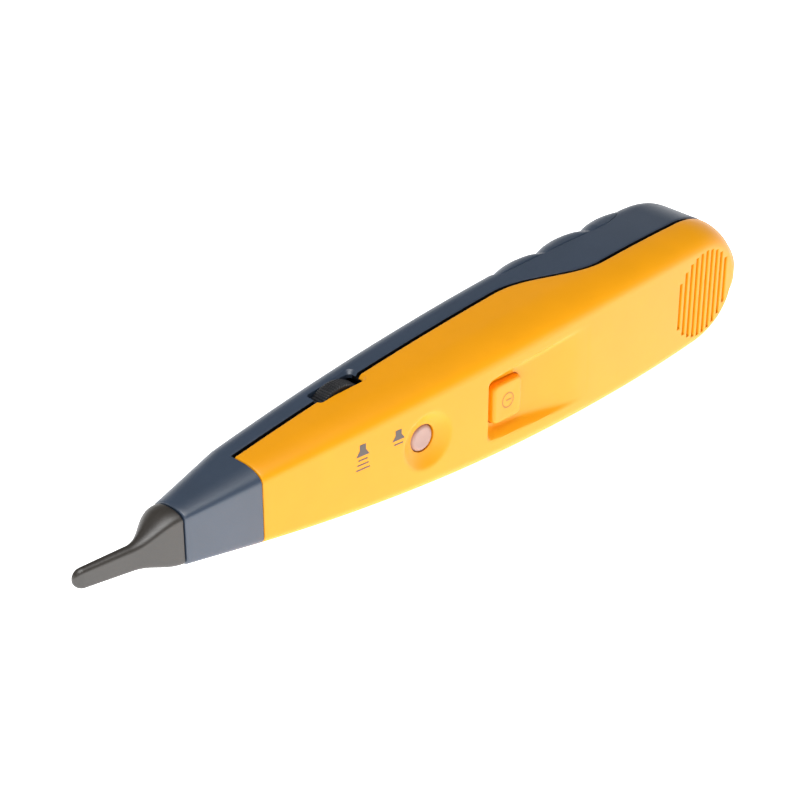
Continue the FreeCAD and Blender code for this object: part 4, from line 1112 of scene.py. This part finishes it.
def door_prism(t, front, foot, gap, material):
    """Block as large as the battery door in side view, its lower edge turning up into the rear edge."""
    far = 60.0 * MM
    start, rear = t.door_rear - t.door_turn, t.door_rear - gap
    base = t.door_y - t.door_gap + 0.5 * gap
    outline = [(rear, far), (front, far), (front, foot), (start, foot)]
    for a in edge_turns(16):
        outline.append((start + (rear - start) * math.sin(a), base + t.door_rise * (1.0 - math.cos(a))))
    return ring_object("door_prism", [[(x, y, z) for x, y in outline] for z in (-far, far)], material)


# Screws and their wells

# Case screws: the front one behind the rim, the middle pair behind the rim, the rear pair ahead of the
# door's end, and half the distance in each pair
FRONT_SCREW = 7.0 * MM
MIDDLE_SCREWS = 97.1 * MM, 10.4 * MM
REAR_SCREWS = 1.6 * MM, 13.2 * MM

# Door screw ahead of the door's end and below the valley, room round a shank, walls of posts, bevel of a
# well and the height of its cutter above the back
DOOR_SCREW = 3.55 * MM
DOOR_SCREW_DROP = 0.8 * MM
SHANK_ROOM = 0.15 * MM
POST_WALL = 1.3 * MM
DOOR_POST_WALL = 0.8 * MM
WELL_BEVEL = 0.4 * MM
WELL_ABOVE = 9.0 * MM


def case_screws(h, t):
    """Places of the five case screws: behind the collar, between board and battery, under the door."""
    spots = [(h.rim + FRONT_SCREW, 0.0)]
    for side in (-1.0, 1.0):
        spots += [(h.rim + MIDDLE_SCREWS[0], side * MIDDLE_SCREWS[1]),
                  (t.door_rear - REAR_SCREWS[0], side * REAR_SCREWS[1])]
    return spots


def open_screws(h, t):
    """Case screws that the door doesn't hide."""
    return [(x, z) for x, z in case_screws(h, t) if x < t.door_front]


def well_post(h, t, x, z, material):
    """Solid post under a screw well, from the seat to the inside of the back."""
    radius = t.head_radius + t.head_gap + POST_WALL
    levels = [(radius, seam_y(h, x) + h.seam_gap), (radius, back_y(h, x) - 0.5 * h.wall)]
    return turned_object("well_post", x, z, levels, material)


def well_cutter(h, t, x, z, material):
    """Bored well for a screw head, with the hole of its shank."""
    seat = seam_y(h, x) + t.head_seat
    top = back_y(h, x)
    shank = t.screw_radius + SHANK_ROOM
    well = t.head_radius + t.head_gap
    lead = well + WELL_BEVEL
    levels = [(shank, seat - CUT_PAST), (shank, seat), (well, seat), (well, top - WELL_BEVEL), (lead, top),
              (lead, top + WELL_ABOVE)]
    return turned_object("well_cutter", x, z, levels, material)


def screw_pattern(t, material):
    """Pan-head screw with its seat at the origin, head up the Y axis and a cross recess."""
    radius, height = t.head_radius, t.head_height
    reach = t.head_seat + t.screw_bite
    point, taper = 0.1 * MM, 2.0 * MM
    straight, crown = 0.45 * height, 0.55 * height
    levels = [(point, -reach), (t.screw_radius, taper - reach), (t.screw_radius, 0.0), (radius, 0.0),
              (radius, straight)]
    for a in edge_turns(6)[1:]:
        levels.append((radius - 0.5 * radius * (1.0 - math.cos(a)), straight + crown * math.sin(a)))
    screw = turned_object("screw", 0.0, 0.0, levels, material, home=False)
    arms = []
    for long, wide in ((t.recess_length, t.recess_width), (t.recess_width, t.recess_length)):
        x, z = 0.5 * long, 0.5 * wide
        rings = [[(-x, y, -z), (x, y, -z), (x, y, z), (-x, y, z)] for y in (0.5 * height, 2.0 * height)]
        arms.append(ring_object("recess", rings, material, home=False))
    carve(screw, "DIFFERENCE", *arms)
    return screw


def door_screw_seat(h, t):
    """Place and seat of the door's screw."""
    x = t.door_rear - DOOR_SCREW
    return x, back_y(h, x) - t.lobe_dip - t.head_height - DOOR_SCREW_DROP


class TRACER_OT_screws(bpy.types.Operator):
    """Set the case screws and the door's screw"""

    bl_idname = "tracer.screws"
    bl_label = "Screws"

    def execute(self, context):
        h, _, t = sizes()
        steel = material_for("screw_steel")
        pattern = screw_pattern(t, steel)
        tree = screw_tree()
        home = home_shift()
        case_spots = [home + Vector((x, seam_y(h, x) + t.head_seat, z)) for x, z in case_screws(h, t)]
        door_spots = [home + Vector((*door_screw_seat(h, t), 0.0))]
        for name, spots, node in (("case_screw_set", case_spots, "case_screws"),
                                  ("door_fixing", door_spots, "door_screw")):
            screws = grow(name, tree, {"Screw": pattern, "Material": steel}, spots)
            dress(screws, "housing", [node])
        bpy.data.objects.remove(pattern)
        return {"FINISHED"}


# Battery door

def door_form(t):
    """Section of the door: the housing's, its back raised in finger lobes."""
    pitch = (t.door_rear - t.door_front) / t.lobes

    def form(h, x, inset):
        along = ((x - t.door_front) / pitch) % 1.0
        swell = t.lobe_height * math.sin(math.pi * along) ** t.lobe_fullness - t.lobe_dip
        return section(h, x, inset, swell, t.lobe_pinch)

    return form


def door_shell(h, t, material):
    """Closed battery door with rounded edges all round."""
    form = door_form(t)
    first = t.door_front + t.door_gap
    last = t.door_rear - t.door_gap
    places = [(first + along, deep) for along, deep in edge_steps(h.edge)[:-1]]
    places += [(x, 0.0) for x in spaced(first + h.edge, last - h.edge, DOOR_STEP)]
    places += [(last - along, deep) for along, deep in reversed(edge_steps(h.edge))]
    depth = h.wall + t.lobe_dip
    outer, inner = [], []
    for x, sink in places:
        row = Row(h, x, sink=sink, form=form)
        plain = Row(h, min(max(x, first + h.edge), last - h.edge))
        skin = back_half(row, 0.0, t.door_y + 2.0 * h.edge) + rounded_edge(row, h.edge, t.door_y, 1.0)
        hollow = back_half(plain, depth, t.door_y + 2.0 * h.edge) + [plain.point(depth, t.door_y)]
        hollow = [(x, y, z) for _, y, z in hollow]
        outer.append(mirrored(skin + hollow[-1:]))
        inner.append(mirrored(hollow))
    return trough_object("finger_door", outer, inner, len(edge_turns()) + 1, [0, -1], material)


class TRACER_OT_battery_door(bpy.types.Operator):
    """Build the finger-lobed battery door"""

    bl_idname = "tracer.battery_door"
    bl_label = "Battery Door"

    def execute(self, context):
        h, _, t = sizes()
        navy = material_for("grip_navy")
        door = door_shell(h, t, navy)
        room = door_prism(t, t.door_front - h.wall, t.door_y - h.wall, t.door_gap, navy)
        carve(door, "INTERSECT", room)
        x, seat = door_screw_seat(h, t)
        head, shank = t.head_radius + t.head_gap, t.screw_radius + SHANK_ROOM
        past = 2.0 * MM
        post = [(head + DOOR_POST_WALL, y) for y in (t.door_y, seat + past)]
        carve(door, "UNION", turned_object("door_post", x, 0.0, post, navy))
        well = [(shank, t.door_y - past), (shank, seat), (head, seat), (head, seat + CUT_PAST)]
        carve(door, "DIFFERENCE", turned_object("door_well", x, 0.0, well, navy))
        dress(door, "housing", ["battery_door"])
        return {"FINISHED"}


# Probe tip

# Flat share of the blade's face, height of the tip's waist at the collar and what the blade adds to it,
# half of its straight side, flat share of its back and rounding of its rear edge
BLADE_FLAT = 0.62
TIP_WAIST = 0.37
BLADE_WAIST = 0.13
TIP_STRAIGHT = 0.04
TIP_BACK = 0.3
TIP_EDGE = 0.3 * MM


def tip_form(t):
    """Section of the tip: D-shaped at the collar, flaring down to a flat blade with a round end."""

    def form(h, x, inset):
        base_x = h.collar_front - h.rim_gap
        slope = (face_y(h, h.rim) - h.mouth_y + h.mouth_flat) / (h.rim - h.collar_front)
        ease = 0.5 - 0.5 * math.cos(math.pi * min((base_x - x) / t.blade_root, 1.0))
        along = max((base_x - t.blade_root - x) / (base_x - t.blade_root), 0.0)
        grow_by = 1.0 + t.blade_swell * (1.0 - along)
        blade, thick = t.blade_half * grow_by, t.blade_thickness * grow_by
        base = h.mouth_radius - t.tip_step
        side = base + (blade - base) * ease
        flat_base = math.sqrt(h.mouth_radius ** 2 - h.mouth_flat ** 2) - t.tip_step
        flat = flat_base + (BLADE_FLAT * blade - flat_base) * ease
        front = h.mouth_y - h.mouth_flat + t.tip_step + slope * (x - base_x)
        depth = h.mouth_flat + base - t.tip_step
        depth = depth + (thick - depth) * ease
        shrink = 1.0
        if x < t.blade_half:
            shrink = math.sqrt(max(1.0 - ((t.blade_half - x) / t.blade_half) ** 2, 0.0))
        low = front + 0.5 * depth * (1.0 - shrink)
        high = front + 0.5 * depth * (1.0 + shrink)
        waist = low + (TIP_WAIST + BLADE_WAIST * ease) * (high - low)
        step = TIP_STRAIGHT * (high - low)
        side, flat = max(side * shrink - inset, 0.0), max(flat * shrink - inset, 0.0)
        return np.array([low + inset, flat, waist - step, side, waist + step, high - inset, TIP_BACK * side])

    return form


class TRACER_OT_probe_tip(bpy.types.Operator):
    """Build the black blade-shaped probe tip with its plug"""

    bl_idname = "tracer.probe_tip"
    bl_label = "Probe Tip"

    def execute(self, context):
        h, _, t = sizes()
        form = tip_form(t)
        base_x = h.collar_front - h.rim_gap
        places = [(along, 0.0) for along, _ in edge_steps(t.blade_half, 14)[2:]]
        places += [(x, 0.0) for x in spaced(t.blade_half, base_x, TIP_STEP)[1:]]
        places += [(base_x - short, inset) for inset, short in edge_steps(TIP_EDGE)]
        rings = [whole_ring(Row(h, x, sink=sink, form=form)) for x, sink in places]
        plug = h.wall + t.plug_fit
        plug_end = h.collar_front + t.plug_length
        for x in (base_x, plug_end):
            rings.append([(x, y, z) for _, y, z in whole_ring(Row(h, h.collar_front), plug)])
        count = len(rings[0])
        turns = [2.0 * math.pi * i / count for i in range(count)]
        for x in (plug_end, plug_end - t.bore_depth):
            rings.append([(x, h.mouth_y - t.bore_radius * math.cos(a), t.bore_radius * math.sin(a))
                          for a in turns])
        tip = ring_object("blade_tip", rings, material_for("tip_black"))
        dress(tip, "housing", ["probe_tip"], sharp=40.0)
        return {"FINISHED"}


# Keys and volume wheel

# Hollows of the keys' tops, rings across a top as shares of its width, points round a key, least corner
POWER_HOLLOW = 0.12 * MM
FILTER_HOLLOW = 0.25 * MM
TOP_RINGS = (0.15, 0.4, 0.65, 0.85)
KEY_POINTS = 64
LEAST_CORNER = 0.4 * MM


def key_rings(k, x, top, seat, stem_end, outline, hollow):
    """Outlines down a key: top hollowed for the finger, rounded edge, side, flange and stem."""
    rings = [outline(top + hollow * (1.0 - scale ** 2), k.edge, scale) for scale in TOP_RINGS]
    rings += [outline(top + short, inset, 1.0) for inset, short in reversed(edge_steps(k.edge, 6))]
    flange_end = seat + k.flange
    rings += [outline(y, inset, 1.0)
              for y, inset in ((seat, 0.0), (seat, -k.flange_over), (flange_end, -k.flange_over))]
    return rings + [ring_circle(x, y, 0.0, k.stem_radius, KEY_POINTS) for y in (flange_end, stem_end)]


class TRACER_OT_keys(bpy.types.Operator):
    """Build the power key and the filter button"""

    bl_idname = "tracer.keys"
    bl_label = "Keys"

    def execute(self, context):
        h, k, _ = sizes()
        home = home_shift()

        def block(y, inset, scale):
            corner = max(k.power_corner - inset, LEAST_CORNER)
            return ring_block(k.power_at, y, scale * (0.5 * k.power_length - inset),
                              scale * (k.power_half - inset), scale * corner, KEY_POINTS)

        def circle(y, inset, scale):
            return ring_circle(k.filter_at, y, 0.0, scale * (k.filter_radius - inset), KEY_POINTS)

        power_seat = face_y(h, k.power_at - k.scoop_ahead) + k.scoop_depth + h.wall + k.gap
        filter_seat = face_y(h, k.filter_at) + k.dish_depth + h.wall + k.gap
        for node, body, slot, at, drop, seat, outline, hollow in (
                ("power_button", "power_key", "face_yellow",
                 k.power_at, k.power_drop, power_seat, block, POWER_HOLLOW),
                ("filter_button", "filter_key", "button_white",
                 k.filter_at, k.filter_drop, filter_seat, circle, FILTER_HOLLOW)):
            stem_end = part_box(node)[1].y - home.y
            rings = key_rings(k, at, face_y(h, at) + drop, seat, stem_end, outline, hollow)
            dress(ring_object(node + "_cap", rings, material_for(slot)), body, [node])
        return {"FINISHED"}


# Rounding of the wheel's rims, smooth band inside them and points round each rib
WHEEL_EDGE = 0.5 * MM
WHEEL_BAND = 1.6 * MM
RIB_POINTS = 8


class TRACER_OT_volume_wheel(bpy.types.Operator):
    """Build the ribbed volume wheel"""

    bl_idname = "tracer.volume_wheel"
    bl_label = "Volume Wheel"

    def execute(self, context):
        h, _, t = sizes()
        z = wheel_z(h, t)
        count = RIB_POINTS * t.wheel_ribs
        half = 0.5 * t.wheel_thickness
        edge = edge_steps(WHEEL_EDGE)

        def ribbed(y, inset):
            points = []
            for i in range(count):
                a = 2.0 * math.pi * i / count
                groove = (0.5 - 0.5 * math.cos(a * t.wheel_ribs)) ** 2
                radius = t.wheel_radius - inset - t.rib_depth * groove
                points.append((t.wheel_at + radius * math.cos(a), y, z + radius * math.sin(a)))
            return points

        def plain(y, radius):
            return ring_circle(t.wheel_at, y, z, radius, count)

        low, high = t.wheel_middle - half, t.wheel_middle + half
        rings = [plain(low, t.wheel_radius - WHEEL_BAND)]
        rings += [ribbed(low + short, inset) for inset, short in reversed(edge)]
        rings += [ribbed(high - short, inset) for inset, short in edge]
        rings += [plain(y, radius) for y, radius in (
            (high, t.wheel_radius - WHEEL_BAND), (high, t.hub_radius), (high - t.hub_depth, t.hub_radius),
            (high - t.hub_depth, t.shaft_radius), (low, t.shaft_radius))]
        wheel = ring_object("ribbed_wheel", rings, material_for("wheel_black"), closed=True)
        dress(wheel, "wheel", ["volume_wheel"])
        return {"FINISHED"}


# Printed signs

# Top and foot of a print, measured inwards from the surface that carries it
PRINT_TOP = -0.06 * MM
PRINT_FOOT = 0.03 * MM

# Loudness signs: place along the housing, top, height and number of lines, half width of box and horn
SOUND_SIGNS = ((84.4 * MM, 7.9 * MM, 3.4 * MM, 3), (96.4 * MM, 7.6 * MM, 3.0 * MM, 1))
SIGN_BOX = 1.0 * MM
SIGN_HORN = 2.15 * MM

# Lines below a horn, in millimetres: drop of the first, distance, length, how each is longer, width
LINE_DROP = 1.15
LINE_PITCH = 1.4
LINE_LENGTH = 3.0
LINE_GROWTH = 0.75
LINE_WIDTH = 0.35

# Power sign: radius of its ring, width of its lines, length of its bar and how far that lies off the middle
POWER_RING = 2.4 * MM
POWER_LINE = 0.45 * MM
POWER_BAR = 2.2 * MM
POWER_BAR_OFF = 0.4 * MM


def add_print(bm, outline, level):
    """Thin print with a closed outline of (x, z) points on a surface whose height level gives."""
    add_rings(bm, [[(x, level(x, z) + lift, z) for x, z in outline] for lift in (PRINT_FOOT, PRINT_TOP)])


def bar(x, z, along, across):
    """Outline of a bar about its middle."""
    u, v = 0.5 * along, 0.5 * across
    return [(x - u, z - v), (x + u, z - v), (x + u, z + v), (x - u, z + v)]


def sound_sign(bm, x, top, height, lines, level):
    """Loudspeaker sign: a box with a horn that opens downwards and one line for each step of loudness."""
    box, horn = SIGN_BOX, SIGN_HORN
    waist, foot = top - 0.5 * height, top - height
    add_print(bm, [(x - box, top), (x + box, top), (x + box, waist), (x + horn, foot), (x - horn, foot),
                   (x - box, waist)], level)
    for i in range(lines):
        z = foot - (LINE_DROP + LINE_PITCH * i) * MM
        add_print(bm, bar(x, z, (LINE_LENGTH + LINE_GROWTH * i) * MM, LINE_WIDTH * MM), level)


class TRACER_OT_signs(bpy.types.Operator):
    """Print the loudness signs on the face and the power sign on its key"""

    bl_idname = "tracer.signs"
    bl_label = "Printed Signs"

    def execute(self, context):
        h, k, _ = sizes()
        f = context.scene.tracer_finishes
        bm = bmesh.new()
        for x, top, height, lines in SOUND_SIGNS:
            sound_sign(bm, x, top, height, lines, lambda x, z: face_y(h, x))
        ink = finish("sign_ink", f.mark_grey, 0.55, 2600.0, 0.1)
        dress(mesh_object("loudness_signs", bm, ink), "housing")
        key_top = face_y(h, k.power_at) + k.power_drop

        def level(x, z):
            near = max(abs(x - k.power_at) / (0.5 * k.power_length), abs(z) / k.power_half)
            return key_top + POWER_HOLLOW * max(1.0 - near * near, 0.0)

        rings = []
        inner = POWER_RING - POWER_LINE
        for radius, lift in ((POWER_RING, PRINT_TOP), (POWER_RING, PRINT_FOOT), (inner, PRINT_FOOT),
                             (inner, PRINT_TOP)):
            ring = ring_circle(k.power_at, 0.0, 0.0, radius, BLOCK_POINTS)
            rings.append([(x, level(x, z) + lift, z) for x, _, z in ring])
        bm = bmesh.new()
        add_rings(bm, rings, closed=True)
        add_print(bm, bar(k.power_at + POWER_BAR_OFF, 0.0, POWER_BAR, POWER_LINE), level)
        moulded = finish("sign_moulded", shade(f.face_yellow, 0.55), 0.4, 2600.0)
        dress(mesh_object("power_sign", bm, moulded), "power_key")
        return {"FINISHED"}


# Pieces that stay as packed, and the slots whose finishes they take

INNER_SLOTS = {
    "tip_pin": "pin_brass", "tip_lead": "lead_black", "main_board": "board_green",
    "board_screws": "screw_steel", "amplifier_chip": "chip_black", "capacitors": "can_silver",
    "filter_switch": "switch_black", "filter_plunger": "plunger_grey", "power_switch": "switch_black",
    "power_plunger": "plunger_grey", "volume_pot": "pot_brown", "pot_shaft": "plunger_grey",
    "wheel_screw": "screw_steel", "speaker_gasket": "foam_grey", "speaker_basket": "basket_black",
    "speaker_cone": "cone_black", "speaker_magnet": "magnet_grey", "speaker_leads": "lead_black",
    "battery": "battery_jacket", "battery_snap": "snap_black", "battery_leads": "lead_black",
    "battery_foam": "foam_grey",
}


class TRACER_OT_inner_parts(bpy.types.Operator):
    """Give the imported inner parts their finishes"""

    bl_idname = "tracer.inner_parts"
    bl_label = "Inner Parts"

    def execute(self, context):
        for node, slot in INNER_SLOTS.items():
            mesh = frame["nodes"][node].data
            mesh.materials.clear()
            mesh.materials.append(material_for(slot))
        return {"FINISHED"}


# Studio

# Floor: half its width, thickness and glow
FLOOR_REACH = 6.0
FLOOR_DEPTH = 10.0 * MM
FLOOR_GLOW = 1.5

# Lights: place from what the camera looks at, length and width
FRONT_LIGHT = Vector((-0.15, -0.9, 0.35)), (1.0, 0.7)
TOP_LIGHT = Vector((-0.25, -0.1, 0.9)), (0.6, 0.6)

# Height of the white walls and of the dim ceiling, as shares of the sky's radius
WALL_TOP = 0.2
CEILING = 0.3

# Camera: sensor width in millimetres and nearest distance that it shows
SENSOR = 36.0
CLIP_START = 10.0 * MM


def area_light(name, watts, aim, away, size):
    """Soft rectangular light that faces what the camera looks at."""
    lamp = bpy.data.lights.new(name, "AREA")
    lamp.energy = watts
    lamp.shape = "RECTANGLE"
    lamp.size, lamp.size_y = size
    light = bpy.data.objects.new(name, lamp)
    light.location = aim + away
    light.rotation_euler = (-away).to_track_quat("-Z", "Y").to_euler()
    bpy.context.scene.collection.objects.link(light)


def studio_world(overhead):
    """White walls up to a little above the horizon under a dim ceiling."""
    world = bpy.data.worlds.new("Studio")
    world.use_nodes = True
    tree = world.node_tree
    sky = add_node(tree, "ShaderNodeTexCoord").outputs["Generated"]
    apart = add_node(tree, "ShaderNodeSeparateXYZ", {"Vector": sky})
    tone = ramp(tree, apart.outputs["Z"], (1.0,) * 3, (overhead,) * 3, WALL_TOP, CEILING)
    feed(tree, tree.nodes["Background"], {"Color": tone})
    return world


class TRACER_OT_studio(bpy.types.Operator):
    """Set the floor, the light and the camera"""

    bl_idname = "tracer.studio"
    bl_label = "Studio"

    def execute(self, context):
        s = context.scene.tracer_studio
        reach = FLOOR_REACH
        rings = [[(-reach, -reach, z), (reach, -reach, z), (reach, reach, z), (-reach, reach, z)]
                 for z in (-FLOOR_DEPTH, 0.0)]
        paper = finish("floor_paper", (0.90, 0.90, 0.90), 0.9, 500.0, 0.02, drift=0.005, level=0.1)
        feed(paper.node_tree, paper.node_tree.nodes["Principled BSDF"], {
            "Emission Color": (1.0, 1.0, 1.0, 1.0), "Emission Strength": FLOOR_GLOW})
        ring_object("floor", rings, paper, home=False)
        context.scene.world = studio_world(s.surroundings)
        context.scene.view_settings.view_transform = "Standard"
        aim = home_shift() + Vector((s.aim, 0.0, 0.0))
        area_light("Front light", s.front_light, aim, *FRONT_LIGHT)
        area_light("Top light", s.top_light, aim, *TOP_LIGHT)
        level = math.cos(s.elevation)
        away = Vector((math.sin(s.azimuth) * level, -math.cos(s.azimuth) * level, math.sin(s.elevation)))
        lens = bpy.data.cameras.new("Camera")
        lens.lens = s.lens
        lens.sensor_width = SENSOR
        lens.clip_start = CLIP_START
        camera = bpy.data.objects.new("Camera", lens)
        camera.location = aim + s.distance * away
        camera.rotation_euler = (-away).to_track_quat("-Z", "Y").to_euler()
        context.scene.collection.objects.link(camera)
        context.scene.camera = camera
        return {"FINISHED"}


OPERATORS = (TRACER_OT_face_moulding, TRACER_OT_grip_moulding, TRACER_OT_battery_door, TRACER_OT_probe_tip,
             TRACER_OT_keys, TRACER_OT_volume_wheel, TRACER_OT_screws, TRACER_OT_signs,
             TRACER_OT_inner_parts, TRACER_OT_studio)
GROUPS = {"tracer_housing": HousingSizes, "tracer_keys": KeySizes, "tracer_trim": TrimSizes,
          "tracer_finishes": Finishes, "tracer_studio": StudioSettings}


class TRACER_PT_panel(bpy.types.Panel):
    """Lists the steps that build the probe"""

    bl_idname = "TRACER_PT_panel"
    bl_label = "Tone Tracer Probe"
    bl_space_type = "VIEW_3D"
    bl_region_type = "UI"
    bl_category = "Tracer"

    def draw(self, context):
        for operator in OPERATORS:
            self.layout.operator(operator.bl_idname)


def register():
    for cls in (*GROUPS.values(), *OPERATORS, TRACER_PT_panel):
        bpy.utils.register_class(cls)
    for name, group in GROUPS.items():
        setattr(bpy.types.Scene, name, PointerProperty(type=group))


def unregister():
    for name in GROUPS:
        delattr(bpy.types.Scene, name)
    for cls in reversed((*GROUPS.values(), *OPERATORS, TRACER_PT_panel)):
        bpy.utils.unregister_class(cls)


def main():
    register()
    bpy.ops.tracer.face_moulding()
    bpy.ops.tracer.grip_moulding()
    bpy.ops.tracer.battery_door()
    bpy.ops.tracer.probe_tip()
    bpy.ops.tracer.keys()
    bpy.ops.tracer.volume_wheel()
    bpy.ops.tracer.screws()
    bpy.ops.tracer.signs()
    bpy.ops.tracer.inner_parts()
    bpy.ops.tracer.studio()


if __name__ == "__main__":
    main()
